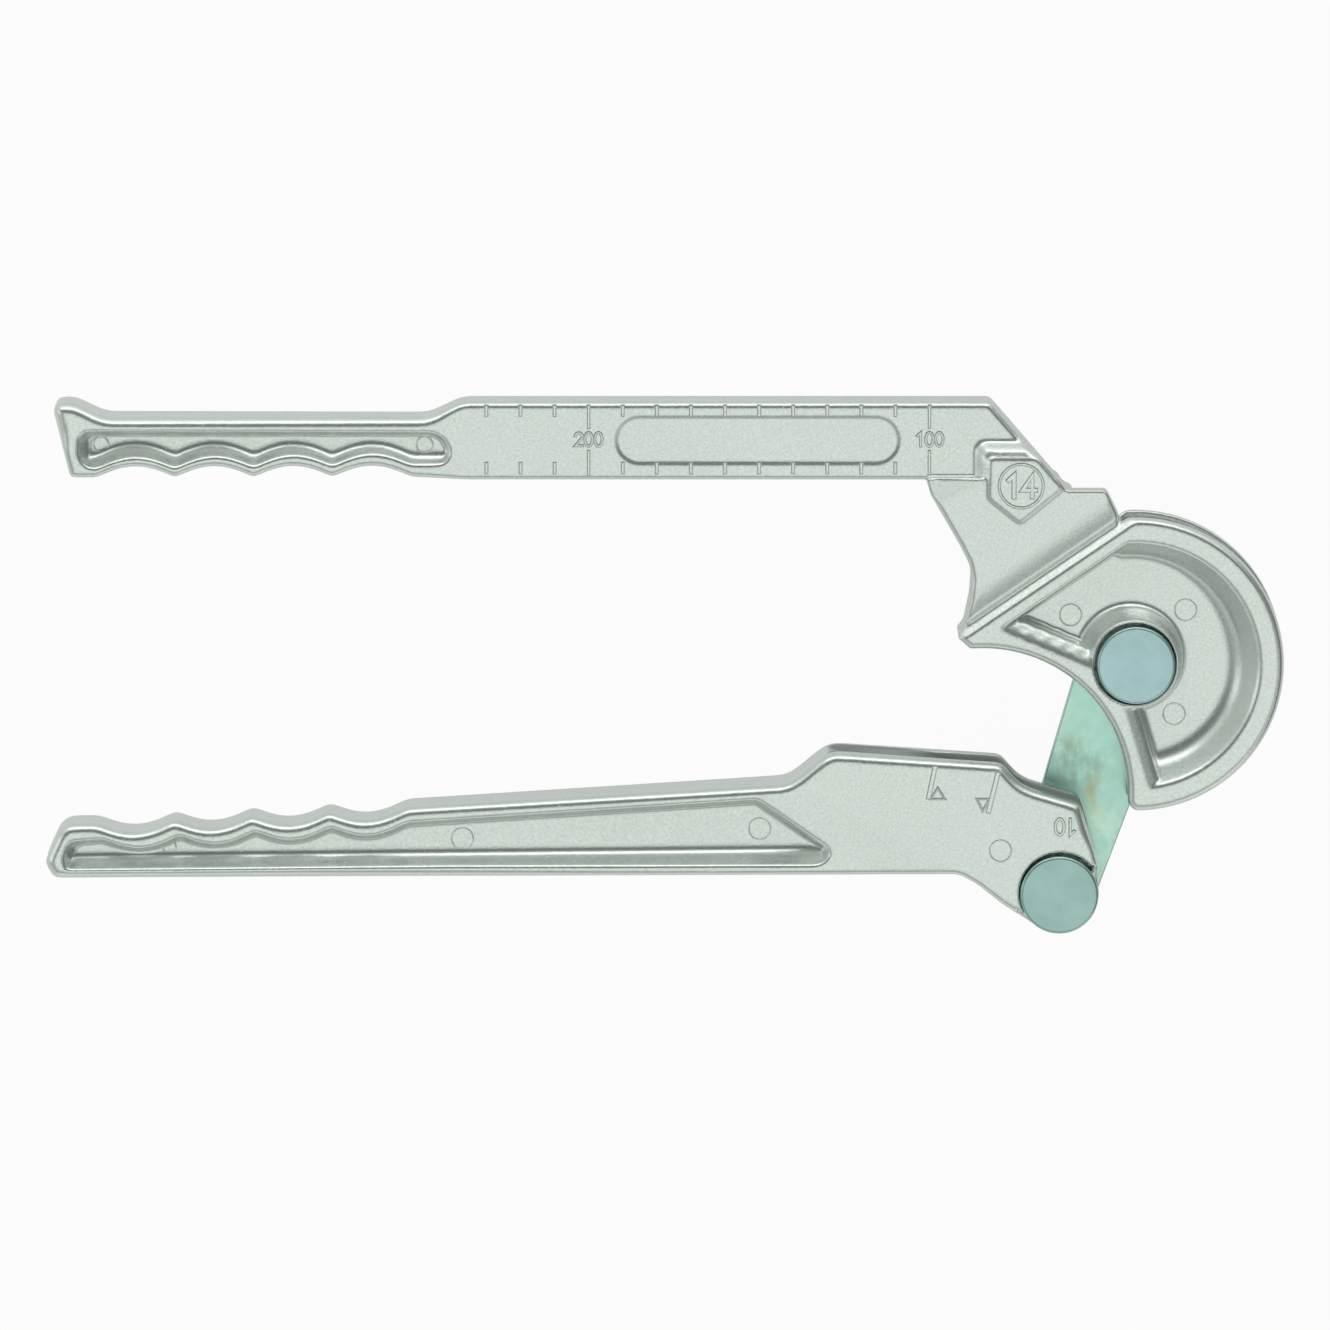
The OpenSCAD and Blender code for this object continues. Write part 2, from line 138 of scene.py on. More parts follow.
def softened(*parts, sigma=1.0, spacing=0.35):
    """Closed outline with its corners rounded over about twice sigma."""
    p = np.vstack([np.atleast_2d(np.asarray(q, float)) for q in parts])
    closed = np.vstack([p, p[:1]])
    seg = np.hypot(*np.diff(closed, axis=0).T)
    s = np.concatenate([[0], np.cumsum(seg)])
    n = int(s[-1] / spacing)
    t = np.arange(n) * s[-1] / n
    q = np.stack([np.interp(t, s, closed[:, k]) for k in (0, 1)], 1)
    f = np.fft.rfftfreq(n, s[-1] / n)
    g = np.exp(-2 * (np.pi * f * sigma) ** 2)[:, None]
    q = np.fft.irfft(np.fft.rfft(q, axis=0) * g, n, axis=0)
    return simplify(q, 0.015)


def even(p, sigma, spacing=0.25):
    """Heights of an open outline over x, with its corners rounded over about twice sigma."""
    margin, reach = 30, 24
    t = np.arange(p[0, 0] - margin, p[-1, 0] + margin, spacing)
    k = np.exp(-0.5 * (np.arange(-reach, reach + 1) * spacing / sigma) ** 2)
    y = np.interp(t, p[:, 0], p[:, 1])
    return t, np.convolve(np.pad(y, reach, mode="edge"), k / k.sum(), mode="valid")


# Sample grids and distances

Grid = namedtuple("Grid", "xs ys zs x y z")


def grid(xs, ys, zs):
    """Sample places along the three axes, plain and shaped to spread over a block."""
    return Grid(xs, ys, zs, xs[:, None, None], ys[None, :, None], zs[None, None, :])


def spaced(*stops):
    """Grid coordinates from (start, spacing) pairs and a last value."""
    out = []
    for (a, h), nxt in zip(stops[:-1], stops[1:]):
        b = nxt[0] if isinstance(nxt, tuple) else nxt
        out.append(np.linspace(a, b, max(2, round((b - a) / h) + 1))[:-1])
    return np.concatenate(out + [[stops[-1]]])


def flat_distance(p, g):
    """Signed distance to a closed outline over the grid, negative inside."""
    gx, gy = g.xs[:, None], g.ys[None, :]
    best = np.full((len(g.xs), len(g.ys)), 1e9)
    odd = np.zeros((len(g.xs), len(g.ys)), bool)
    for a, b in zip(p, np.roll(p, -1, axis=0)):
        d = b - a
        wx, wy = gx - a[0], gy - a[1]
        t = np.clip((wx * d[0] + wy * d[1]) / (d @ d), 0, 1)
        np.minimum(best, (wx - t * d[0]) ** 2 + (wy - t * d[1]) ** 2, out=best)
        if a[1] != b[1]:
            cross = (gy >= min(a[1], b[1])) & (gy < max(a[1], b[1]))
            odd ^= cross & (gx < a[0] + (gy - a[1]) * d[0] / d[1])
    best = np.sqrt(best)
    return np.where(odd, -best, best)[:, :, None]


def line_side(g, p, q):
    """Distance to the right of the line from p to q."""
    d = np.asarray(q, float) - np.asarray(p, float)
    d /= math.hypot(*d)
    return (g.x - p[0]) * d[1] - (g.y - p[1]) * d[0]


def smax(a, b, blend):
    """The larger of two distances, with a fillet of about this width."""
    h = np.maximum(blend - np.abs(a - b), 0) / blend
    return np.maximum(a, b) + h * h * blend / 4


def smin(a, b, blend):
    return -smax(-a, -b, blend)


def slab(d, z, half, r):
    """Extrusion of a flat distance to plus and minus half, with edges rounded by r."""
    a = d + r
    b = np.abs(z) - half + r
    return np.minimum(np.maximum(a, b), 0) + np.hypot(np.maximum(a, 0), np.maximum(b, 0)) - r


def step(t):
    """Smooth rise from zero to one."""
    t = np.clip(t, 0, 1)
    return t * t * (3 - 2 * t)


# Meshes from distances

CORNERS = [(i, j, k) for i in (0, 1) for j in (0, 1) for k in (0, 1)]


def crossed_cells(inside):
    """Cells of the grid with corners on both sides of the surface."""
    n = [s - 1 for s in inside.shape]
    count = sum(inside[i:i + n[0], j:j + n[1], k:k + n[2]].astype(np.int8) for i, j, k in CORNERS)
    return np.argwhere((count > 0) & (count < len(CORNERS)))


def cell_points(f, axes, cells):
    """One point to a cell, the mean of its edge crossings, with the surface normal there."""
    val = np.stack([f[tuple((cells + c).T)] for c in CORNERS], 1)
    pos = np.stack([np.stack([axes[k][cells[:, k] + c[k]] for k in range(3)], 1) for c in CORNERS], 1)
    total = np.zeros((len(cells), 3))
    hits = np.zeros(len(cells))
    for a, ca in enumerate(CORNERS):
        for b, cb in enumerate(CORNERS):
            if b > a and sum(abs(u - v) for u, v in zip(ca, cb)) == 1:
                m = (val[:, a] < 0) != (val[:, b] < 0)
                t = np.where(m, val[:, a] / np.where(m, val[:, a] - val[:, b], 1), 0)[:, None]
                total += np.where(m[:, None], pos[:, a] + t * (pos[:, b] - pos[:, a]), 0)
                hits += m
    points = total / hits[:, None]
    low, high = pos[:, 0], pos[:, -1]
    w = (points - low) / (high - low)
    grad = np.gradient(f, *axes)
    normals = np.zeros_like(points)
    for c in CORNERS:
        share = np.prod([w[:, k] if c[k] else 1 - w[:, k] for k in range(3)], axis=0)
        at = tuple((cells + c).T)
        normals += share[:, None] * np.stack([part[at] for part in grad], 1)
    normals /= np.linalg.norm(normals, axis=1, keepdims=True) + 1e-12
    return points, normals


def cell_quads(inside, cells):
    """One face to each grid edge that the surface crosses, turned outwards."""
    n = [s - 1 for s in inside.shape]
    index = np.full(n, -1, np.int64)
    index[tuple(cells.T)] = np.arange(len(cells))
    quads = []
    for ax in range(3):
        u, v = (ax + 1) % 3, (ax + 2) % 3
        lo = [slice(None)] * 3
        hi = [slice(None)] * 3
        lo[ax], hi[ax] = slice(0, -1), slice(1, None)
        e = np.argwhere(inside[tuple(lo)] != inside[tuple(hi)])
        e = e[(e[:, u] > 0) & (e[:, v] > 0) & (e[:, u] < n[u]) & (e[:, v] < n[v])]
        ring = []
        for du, dv in ((1, 1), (0, 1), (0, 0), (1, 0)):
            c = e.copy()
            c[:, u] -= du
            c[:, v] -= dv
            ring.append(index[tuple(c.T)])
        q = np.stack(ring, 1)
        out = inside[tuple(e.T)]
        quads.append(np.where(out[:, None], q, q[:, ::-1]))
    return np.concatenate(quads).tolist()


def surface(name, f, g, offset=(0, 0)):
    """Mesh object on the zero level of f, with normals from the slope of f."""
    inside = f < 0
    cells = crossed_cells(inside)
    points, normals = cell_points(f, (g.xs, g.ys, g.zs), cells)
    points = (points + np.array([offset[0], offset[1], 0])) * MM
    return mesh_object(name, points, cell_quads(inside, cells), normals)


def mesh_object(name, verts, faces, normals=None):
    me = bpy.data.meshes.new(name)
    me.from_pydata(np.asarray(verts).tolist(), [], faces)
    me.update()
    me.polygons.foreach_set("use_smooth", np.ones(len(me.polygons), bool))
    if normals is not None:
        me.normals_split_custom_set_from_vertices(normals.tolist())
    ob = bpy.data.objects.new(name, me)
    bpy.context.scene.collection.objects.link(ob)
    return ob


# Pocket of either grip

def grip_pocket(g, outline, end_x, round_x, lower_y):
    """Hollow with a steep wall round it, a leaning left end and a leaning lower wall."""
    wall_lean, wall_scale = 0.28, 1.038
    end_lean, end_scale = 0.6, 1.17
    lower_lean, lower_scale = 0.62, 1.177
    corner, wall_foot, end_foot, foot_run, lower_foot = 3.0, 0.8, 1.6, 4, 2.4
    depth = GRIP_Z - np.abs(g.z)
    floor_gap = depth - POCKET_DEPTH
    around = (flat_distance(outline, g) + wall_lean * depth) / wall_scale
    end = (end_x - g.x + end_lean * depth) / end_scale
    wall = smax(around, end, corner)
    wall = smax(wall, floor_gap, wall_foot + end_foot * step((round_x - g.x) / foot_run))
    lower = (lower_y - g.y + lower_lean * depth) / lower_scale
    lower = smax(lower, floor_gap, lower_foot)
    return smax(wall, lower, blend=0.6)


# Handle casting with the former

SCALLOP_X0, SCALLOP_X1 = -305.4, GRIP_X1 - 2
RAMP_LEAN, RAMP_SCALE = 0.8, 1.28


def handle_beam(g):
    """Grip and beam, thicker towards the grip and rounder along the top."""
    grip_run, swell_run = 13, 97
    top_y, top_run = 62, 8
    edge_r, grip_edge_r, top_r, grip_top_r = 1.2, 0.4, 0.9, 0.7
    outline = softened(
        [(GRIP_X0 + 5, GRIP_Y0)],
        scallops((SCALLOP_X0, GRIP_Y0), (SCALLOP_X1, GRIP_Y0), SCALLOP_DEPTH),
        [(BEAM_X0, BEAM_Y0), (NECK_X0, BEAM_Y0), SLANT_LOW, SLANT_TOP],
        ease((BEAM_X0 + 1, BEAM_Y1), (BEAM_X0 - grip_run, GRIP_Y1)),
        ease((GRIP_X0 + 17, GRIP_Y1), (GRIP_X0 + 4, BEAM_Y1 - 0.2)),
        [(GRIP_X0 + 1, BEAM_Y1 - 0.6), (GRIP_X0, BEAM_Y1 - 2.5)],
        sigma=0.9)
    grip = step((BEAM_X0 - g.x) / grip_run)
    half = BEAM_Z + (GRIP_Z - BEAM_Z) * np.clip((BEAM_X0 - g.x) / swell_run, 0, 1)
    upper = step((g.y - top_y) / top_run)
    rounding = edge_r + grip_edge_r * grip + (top_r + grip_top_r * grip) * upper
    return slab(flat_distance(outline, g), g.z, half, rounding)


def handle_pocket(g):
    """Pocket of the handle's grip, with its lower wall along the scallops."""
    rim, left_x, round_x = 2.6, -311.6, -304
    start = [(-308.4, GRIP_Y0 + 3.4)]
    edge = scallops((SCALLOP_X0, GRIP_Y0 + rim), (SCALLOP_X1, GRIP_Y0 + rim), SCALLOP_DEPTH)
    right_end = [(-206, 58.1), (-202.6, 59.4), (-201.2, 61.5), (-201.2, 64), (-203.2, 67.4), (-206.5, 69.1)]
    left_end = [(-308.6, 69.1), (-311.3, 67.4), (left_x, 62)]
    outline = softened(start, edge, right_end, left_end, sigma=1.1)
    return grip_pocket(g, outline, left_x, round_x, np.interp(g.x, *even(edge, 1.0)))


def beam_panel(g):
    """Sunk oval on the beam's face."""
    middle, half_length, radius, sunk = (-111.3, 66.3), 34.6, 6.8, 0.35
    oval = np.hypot(np.maximum(np.abs(g.x - middle[0]) - half_length, 0), g.y - middle[1]) - radius
    return smax(oval, BEAM_Z - sunk - g.z, blend=0.4)


def neck_web(g, n):
    """Neck down to the former, with a soft valley beside the slanted edge and the hook's lip cut free."""
    valley_n, valley_run, valley_sag = 46.6, 7.0, 0.0205
    slope_n, slope_run, slope_fall = 39.6, 2.0, 0.287
    ledge_n, ledge_run, ledge_fall = 39.4, 1.8, 0.9
    top_scale, soft_edge, sharper, sharp_y, sharp_run = 0.96, 1.8, 1.3, 47, 4
    facet_x, facet_y, facet_rise, facet_lean, facet_scale = -57.4, 47.6, 0.526, 0.06, 1.002
    lip_z = 5
    under = EDGE_N * (EDGE_DIST - 1)
    left_side = [(NECK_X0, BEAM_Y0 + 1), (-60.6, BEAM_Y0 - 4), (-51.8, 35.3), (-49.2, 30.1), (-48.4, 25.8),
                 (-48.8, 19.8), (-50.3, 12.5)]
    foot = [under - EDGE_U * 37.6, under + EDGE_U * 19]
    hook = [(-5.3, 44.9), HOOK_END, SLANT_LOW, (-23.4, BEAM_Y0 + 1)]
    outline = softened(left_side, foot, hook, sigma=0.7)
    drop = np.clip(valley_n - n, 0, valley_run)
    top = NECK_Z - valley_sag * drop * drop
    top = top - slope_fall * np.clip(slope_n - n, 0, slope_run)
    top = top - ledge_fall * step((ledge_n - n) / ledge_run)
    edge = soft_edge - sharper * step((g.y - sharp_y) / sharp_run)
    web = smax(flat_distance(outline, g), top_scale * (g.z - top), edge)
    web = smax(web, -BEAM_Z - g.z, blend=1.0)
    line = facet_y + facet_rise * (g.x - facet_x)
    web = smax(web, (g.z - NECK_Z + facet_lean * (g.y - line)) / facet_scale, blend=0.1)
    behind_tube = np.maximum(BEND_R + 1 - g.y, g.z - lip_z)
    lip = np.maximum(line_side(g, SLANT_TOP, SLANT_LOW) + 1.0, behind_tube)
    return smax(web, -lip, blend=0.6)


def neck_plate(g):
    """Raised plate from the beam to the hook's slant, ramped at its left and its top."""
    left_x, top_y, low_y, low_z = -44.6, 63.2, 50, 4
    over = g.z - NECK_Z
    left = (left_x - g.x + RAMP_LEAN * over) / RAMP_SCALE
    top = (g.y - top_y + RAMP_LEAN * over) / RAMP_SCALE
    form = smax(left, top, blend=2.6)
    form = smax(form, over, blend=1.6)
    form = smax(form, line_side(g, SLANT_LOW, SLANT_TOP) + 0.2, blend=1.4)
    return np.maximum(form, np.maximum(low_y - g.y, low_z - g.z))


def number_pad(g):
    """Low raised field for the number on the neck."""
    corners = [(-43.2, 61.3), (-43.4, 49.6), (-34.4, 42.4), (-21.9, 52.5), (-29.4, 61.3)]
    over = g.z - PAD_Z
    flank = (flat_distance(softened(corners, sigma=0.7), g) + RAMP_LEAN * over) / RAMP_SCALE
    return np.maximum(smax(flank, over, blend=0.6), PAD_Z - 2 - g.z)


def former_plate(g, n):
    """Half-round disc, hollowed out at the lower left and bevelled along its slanted edge."""
    edge_start = 90 + EDGE_ANGLE - math.degrees(math.acos(EDGE_DIST / FLANGE_R))
    tip = -0.865 * FLANGE_R
    relief, relief_r = (-1.035 * FLANGE_R, -0.875 * FLANGE_R), 0.985 * FLANGE_R
    bevel_n, bevel_across, bevel_down, rounding = 35.0, 0.643, 0.766, 2.1
    tip_end = [EDGE_N * (EDGE_DIST - 3.6) + EDGE_U * (tip - 0.4),
               EDGE_N * (EDGE_DIST - 1.2) + EDGE_U * (tip - 1.2),
               EDGE_N * EDGE_DIST + EDGE_U * tip]
    outline = softened(
        arc((0, 0), FLANGE_R, edge_start, -90, 90),
        [(-1.4, 1.2 - FLANGE_R)],
        arc(relief, relief_r, -4, 95, 40),
        tip_end, sigma=0.5)
    disc = slab(flat_distance(outline, g), g.z, FORMER_Z, rounding)
    bevel = bevel_across * (n - bevel_n) + bevel_down * (np.abs(g.z) - FORMER_Z)
    return smax(disc, bevel, blend=0.5)


def back_boss(g, r):
    boss_r, back_z = 14, -12
    return np.maximum(smax(r - boss_r, back_z - g.z, blend=0.8), g.z)


def rim_wall(g, r, depth):
    """Wall inside the former's rim and its lean: sloped, steeper to the top, upright at the upper left."""
    rim_r, tip_reach, tip_x, tip_run = 36.4, 4.5, -18, 8
    lean_most, lean_lost, steepening, start_angle, angle_run = 0.9, 0.82, 0.35, 10, 90
    upright_x, upright_run = -3, 9
    steep = steepening * step((np.degrees(np.arctan2(g.y, g.x)) - start_angle) / angle_run)
    upright = step((upright_x - g.x) / upright_run)
    lean = lean_most - steep - (lean_lost - steep) * upright * (g.y > 0)
    inner = r - rim_r - tip_reach * step((tip_x - g.x) / tip_run)
    return (inner + lean * depth) / np.hypot(1, lean), lean


def bent_ramp(depth, lean, knee):
    """Way across at a depth, for a ramp that leans down to the knee and is nearly upright below it."""
    low_lean = 0.15
    return lean * np.minimum(depth, knee) + low_lean * np.maximum(depth - knee, 0)


def end_ramps(g, depth):
    """Ramps at the two ends of the former's pocket, with faint waves on the left one."""
    left_from, left_to, left_lean, left_knee, left_scale = (-38.6, 10.6), (-14.7, 0.5), 1.7, 2.3, 1.6
    low_from, low_to, low_lean, low_knee, low_scale = (3.7, -33.8), (-1.9, -15.2), 2.2, 1.35, 1.5
    wave_height, one, other = 0.1, (1.1, 0.6), (0.5, 1.4)
    waves = wave_height * np.sin(one[0] * g.x - one[1] * g.y) * np.sin(other[0] * g.x + other[1] * g.y)
    left = (line_side(g, left_from, left_to) + bent_ramp(depth, left_lean, left_knee) + waves) / left_scale
    low = (bent_ramp(depth, low_lean, low_knee) - line_side(g, low_from, low_to)) / low_scale
    return np.minimum(left, low)


def former_pocket(g, r, n, side, reach):
    """Hollow in one face of the former, between rim, slanted edge, end ramps and boss."""
    pocket_depth, edge_lean = 7.5, 0.12
    boss_r, boss_lean, boss_scale, lean_x, lean_y = 12.9, 0.31, 1.05, 0.22, 0.21
    ring_foot, lean_foot = 0.8, 2.4
    depth = FORMER_Z - side * g.z
    floor_gap = depth - pocket_depth
    wall, lean = rim_wall(g, r, depth)
    ring = smax(wall, floor_gap, ring_foot + lean_foot * lean)
    edge = smax(n - reach + edge_lean * depth, floor_gap, blend=0.9)
    ends = smax(end_ramps(g, depth), floor_gap, blend=1.0)
    foot = np.hypot(g.x + lean_x * depth, g.y - lean_y * depth)
    boss = smax((boss_r + boss_lean * depth - foot) / boss_scale, floor_gap, blend=1.6)
    return np.maximum(np.maximum(ring, edge), np.maximum(ends, boss))


def tube_way(g, r):
    """Groove round the former, the way in under the hook, open at the back, and the step between them."""
    hook_x, exit_x, exit_half = -5, -2.4, 2.8
    tube = np.hypot(g.y - BEND_R, g.z)
    groove = np.where(r < BEND_R, np.hypot(r - BEND_R, g.z), np.abs(g.z)) - GROOVE_R
    groove = np.maximum(groove, np.minimum(-g.x, g.y))
    way = np.where(g.z > 0, tube, np.abs(g.y - BEND_R)) - GROOVE_R
    way = np.maximum(way, g.x - hook_x)
    exit_way = np.where(g.y < BEND_R, tube, np.abs(g.z)) - GROOVE_R
    exit_way = np.maximum(exit_way, np.abs(g.x - exit_x) - exit_half)
    return np.minimum(np.minimum(groove, way), exit_way)


def former_pin_seat(g, r):
    """Counterbore for the pin's head, with a deeper gap round the head."""
    shift, gap, seat_z, gap_z, under = 0.36, 0.62, 8.0, 5.0, 0.2
    bore = np.hypot(g.x + shift, g.y - shift) - HEAD_R - gap
    return np.maximum(bore, np.where(r < HEAD_R - under, seat_z, gap_z) - g.z)


def former_handle_piece():
    front_reach, back_reach = 31.3, 27.1
    along = spaced((-320, FINE), (-195, COARSE), (-156, FINE), (-143, COARSE), (-79, FINE), (-66, FINER),
                   45.6)
    g = grid(along, spaced((-46, FINER), 79.8), spaced((-13.2, LAYER), 15.4))
    r = np.hypot(g.x, g.y)
    n = EDGE_N[0] * g.x + EDGE_N[1] * g.y
    body = handle_beam(g)
    body = smax(body, -handle_pocket(g), blend=0.9)
    body = smax(body, -beam_panel(g), blend=0.5)
    body = smin(body, neck_plate(g), blend=0.8)
    body = np.minimum(body, neck_web(g, n))
    body = smin(body, number_pad(g), blend=0.5)
    body = smin(body, former_plate(g, n), blend=1.2)
    body = smin(body, back_boss(g, r), blend=1.0)
    for side, reach in ((1, front_reach), (-1, back_reach)):
        body = smax(body, -former_pocket(g, r, n, side, reach), blend=0.9)
    body = smax(body, -tube_way(g, r), blend=0.7)
    body = smax(body, -former_pin_seat(g, r), blend=0.3)
    body = smax(body, -(r - PIN_R - PLAY), blend=0.3)
    return surface("handle_casting", body, g)


# Lever casting

def lever_outline():
    seen = -PIVOT
    r_in = math.hypot(*(seen - SHOE_IN))
    a_in = math.degrees(math.atan2(SHOE_IN[1] - seen[1], SHOE_IN[0] - seen[0]))
    lower_edge = [(-LEVER_LEN, ARM_Y0 + 3.8), (2.6 - LEVER_LEN, ARM_Y0 - 1.0), (-29.4, ARM_Y0 + 0.6),
                  (-23.8, 2.6), (-17.6, -2.5)]
    lug_side = [(11.3, 9.2), (6.2, 26.7), (-8.6, 31.1)]
    grip_end = [(7 - LEVER_LEN, GRIP_OUT[1] - 0.2), (4.2 - LEVER_LEN, GRIP_OUT[1] - 2.2)]
    return softened(
        lower_edge, arc((0, 0), LUG_R, -122, 20, 40), lug_side,
        arc(seen, r_in, a_in + 9.5, a_in + 1, 12), [SHOE_IN, SHOE_OUT],
        ease(SHOE_OUT, ARM_IN, 14), scallops(ARM_OUT, GRIP_OUT, -SCALLOP_DEPTH), grip_end, sigma=1.3)


def lever_blank(g, outline_d):
    """Lever without its hollows, thinner from the grooved end to the grip and rounder along the top."""
    ramp_x = -33
    ramp_lean, ramp_start, ramp_run = 0.05, 3, 12
    arm_lean, arm_start, arm_run = 0.0235, 9, 60
    edge_r, top_r, top_y, top_slope, top_run = 1.4, 1.4, 12, 0.06, 8
    fall = -line_side(g, (ramp_x, ARM_Y0), ARM_IN)
    half = SHOE_Z - ramp_lean * np.clip(fall + ramp_start, 0, ramp_run)
    half = half - arm_lean * np.clip(fall - arm_start, 0, arm_run)
    upper = step((g.y - top_slope * g.x - top_y) / top_run)
    return slab(outline_d, g.z, half, edge_r + top_r * upper)


def lever_pocket(g):
    """Pocket of the lever's arm and grip, with its lower wall along the lower edge."""
    rim, left_x, round_x = 4.6, 4.6 - LEVER_LEN, 12 - LEVER_LEN
    right_x, lower_rim, lower_rise = -71.5, 3.9, 0.0105
    lower_side = [(6.3 - LEVER_LEN, ARM_Y0 + 1.5), (right_x, ARM_Y0 + 3.7)]
    right_end = [(-68.8, ARM_Y0 + 5), (-67.8, ARM_Y0 + 7.8), ARM_IN + (-7, -4.5), ARM_IN + (-9, -4.8)]
    edge = scallops(ARM_OUT + (0, -rim), GRIP_OUT + (2, -rim), -SCALLOP_DEPTH)
    left_end = [(7.2 - LEVER_LEN, GRIP_OUT[1] - 5.4), (left_x, ARM_Y0 + 5)]
    outline = softened(lower_side, right_end, edge, left_end, sigma=1.1)
    lower_y = ARM_Y0 + lower_rim + lower_rise * (g.x - right_x)
    return grip_pocket(g, outline, left_x, round_x, lower_y)


def lever_groove(g):
    """Sloped tube groove, opening deeper at its outer end."""
    opening, open_x, open_run = 1.4, -40, 24
    v = GROOVE_N[0] * g.x + GROOVE_N[1] * g.y - FLOOR_H - GROOVE_R
    v = v + opening * step((open_x - g.x) / open_run)
    return np.where(v < 0, np.hypot(v, g.z), np.abs(g.z)) - GROOVE_R


def lever_pin_seat(g, r, outline_d):
    """Counterbore for the pin's head, with a deeper gap round the head inside the lug."""
    shift_x, shift_y, gap = 0.3, 0.32, 0.55
    wide_r, rim, seat_z, gap_depth, gap_run, under = 13.4, 1.4, 10.4, 3.4, 0.7, 0.2
    bore = np.hypot(g.x - shift_x, g.y - shift_y) - HEAD_R - gap
    bore = np.minimum(bore, np.maximum(r - wide_r, -rim - outline_d))
    floor_z = seat_z - gap_depth * step(-outline_d / gap_run - 2) * (r > HEAD_R - under)
    return np.maximum(bore, floor_z - g.z)


def slide_lever_piece():
    arm_spacing, shoe_spacing = 1.6, 0.6
    along = spaced((-301, FINE), (-186, arm_spacing), (-92, shoe_spacing), 14.2)
    g = grid(along, spaced((-14, FINER), 44.4), spaced((-13.6, LAYER), 13.6))
    r = np.hypot(g.x, g.y)
    outline_d = flat_distance(lever_outline(), g)
    body = lever_blank(g, outline_d)
    body = smax(body, -lever_pocket(g), blend=0.9)
    body = smax(body, -lever_groove(g), blend=1.0)
    body = smax(body, -lever_pin_seat(g, r, outline_d), blend=0.3)
    body = smax(body, -(r - PIN_R - PLAY), blend=0.3)
    return surface("lever_casting", body, g, offset=PIVOT)


# Turned and stamped pieces

def lathe(name, profile, centre, n=96):
    """Closed profile of (radius, height) points turned about the vertical through centre."""
    a = np.linspace(0, 2 * np.pi, n, endpoint=False)
    verts, faces, rows = [], [], []
    for r, h in profile:
        if r < 1e-6:
            rows.append([len(verts)] * n)
            verts.append((centre[0], centre[1], h))
        else:
            rows.append(list(range(len(verts), len(verts) + n)))
            verts += [(centre[0] + r * math.cos(t), centre[1] + r * math.sin(t), h) for t in a]
    for p, q in zip(rows, rows[1:]):
        for i in range(n):
            j = (i + 1) % n
            f = [p[i], p[j], q[j], q[i]]
            f = [v for k, v in enumerate(f) if v not in f[:k]]
            if len(f) > 2:
                faces.append(f)
    return mesh_object(name, np.array(verts) * MM, faces)


def bend(points, r, n):
    """Profile with each inner corner rounded by r."""
    out = [points[0]]
    for a, b, c in zip(points, points[1:], points[2:]):
        a, b, c = (np.array(v, float) for v in (a, b, c))
        u, w = a - b, c - b
        k = min(r, math.hypot(*u) * 0.45, math.hypot(*w) * 0.45)
        p, q = b + u / math.hypot(*u) * k, b + w / math.hypot(*w) * k
        for t in np.linspace(0, 1, n):
            out.append(tuple((1 - t) ** 2 * p + 2 * t * (1 - t) * b + t * t * q))
    return out + [points[-1]]


def turned_pin(name, centre, seat):
    """Stepped pin with a flat round head, a tail and a groove for the retaining ring."""
    chamfer, edge_r, head_r = 0.5, 0.15, 0.9
    top = seat + HEAD_T
    cut_r = TAIL_R - RING_CUT
    shaft = bend([(0, TAIL_Z), (TAIL_R - chamfer, TAIL_Z), (TAIL_R, TAIL_Z + chamfer),
                  (TAIL_R, RING_Z0 - PLAY), (cut_r, RING_Z0 - PLAY), (cut_r, WASHER_Z0),
                  (TAIL_R, WASHER_Z0), (TAIL_R, LINK_Z1), (PIN_R, LINK_Z1), (PIN_R, seat),
                  (HEAD_R, seat), (HEAD_R, top)], edge_r, 3)
    head = bend([shaft[-2], (HEAD_R, top), (0, top)], head_r, 7)
    return lathe(name, shaft[:-1] + head[1:], centre)


def washer(name, centre, bore, rim, z0, z1, edge_r):
    middle = (z0 + z1) / 2
    profile = [(bore, middle), (bore, z1), (rim, z1), (rim, z0), (bore, z0), (bore, middle)]
    return lathe(name, bend(profile, edge_r, 4), centre)


def plate(name, outer, holes, z0, z1, edge):
    """Stamped plate between two heights, with rounded edges."""
    cu = bpy.data.curves.new(name, "CURVE")
    cu.dimensions = "2D"
    cu.fill_mode = "BOTH"
    cu.extrude = ((z1 - z0) / 2 - edge) * MM
    cu.bevel_depth = edge * MM
    cu.bevel_resolution = 3
    cu.offset = -edge * MM
    for ring in [outer] + holes:
        sp = cu.splines.new("POLY")
        sp.points.add(len(ring) - 1)
        for p, v in zip(sp.points, ring):
            p.co = (v[0] * MM, v[1] * MM, 0, 1)
        sp.use_cyclic_u = True
    ob = bpy.data.objects.new(name, cu)
    ob.location.z = (z0 + z1) / 2 * MM
    return baked(ob)


def baked(ob):
    """The object's final shape as a plain mesh in place."""
    bpy.context.scene.collection.objects.link(ob)
    bpy.context.view_layer.update()
    me = bpy.data.meshes.new_from_object(ob.evaluated_get(bpy.context.evaluated_depsgraph_get()))
    me.transform(ob.matrix_world)
    name = ob.name
    bpy.data.objects.remove(ob)
    out = bpy.data.objects.new(name, me)
    out.data.name = name
    bpy.context.scene.collection.objects.link(out)
    return out


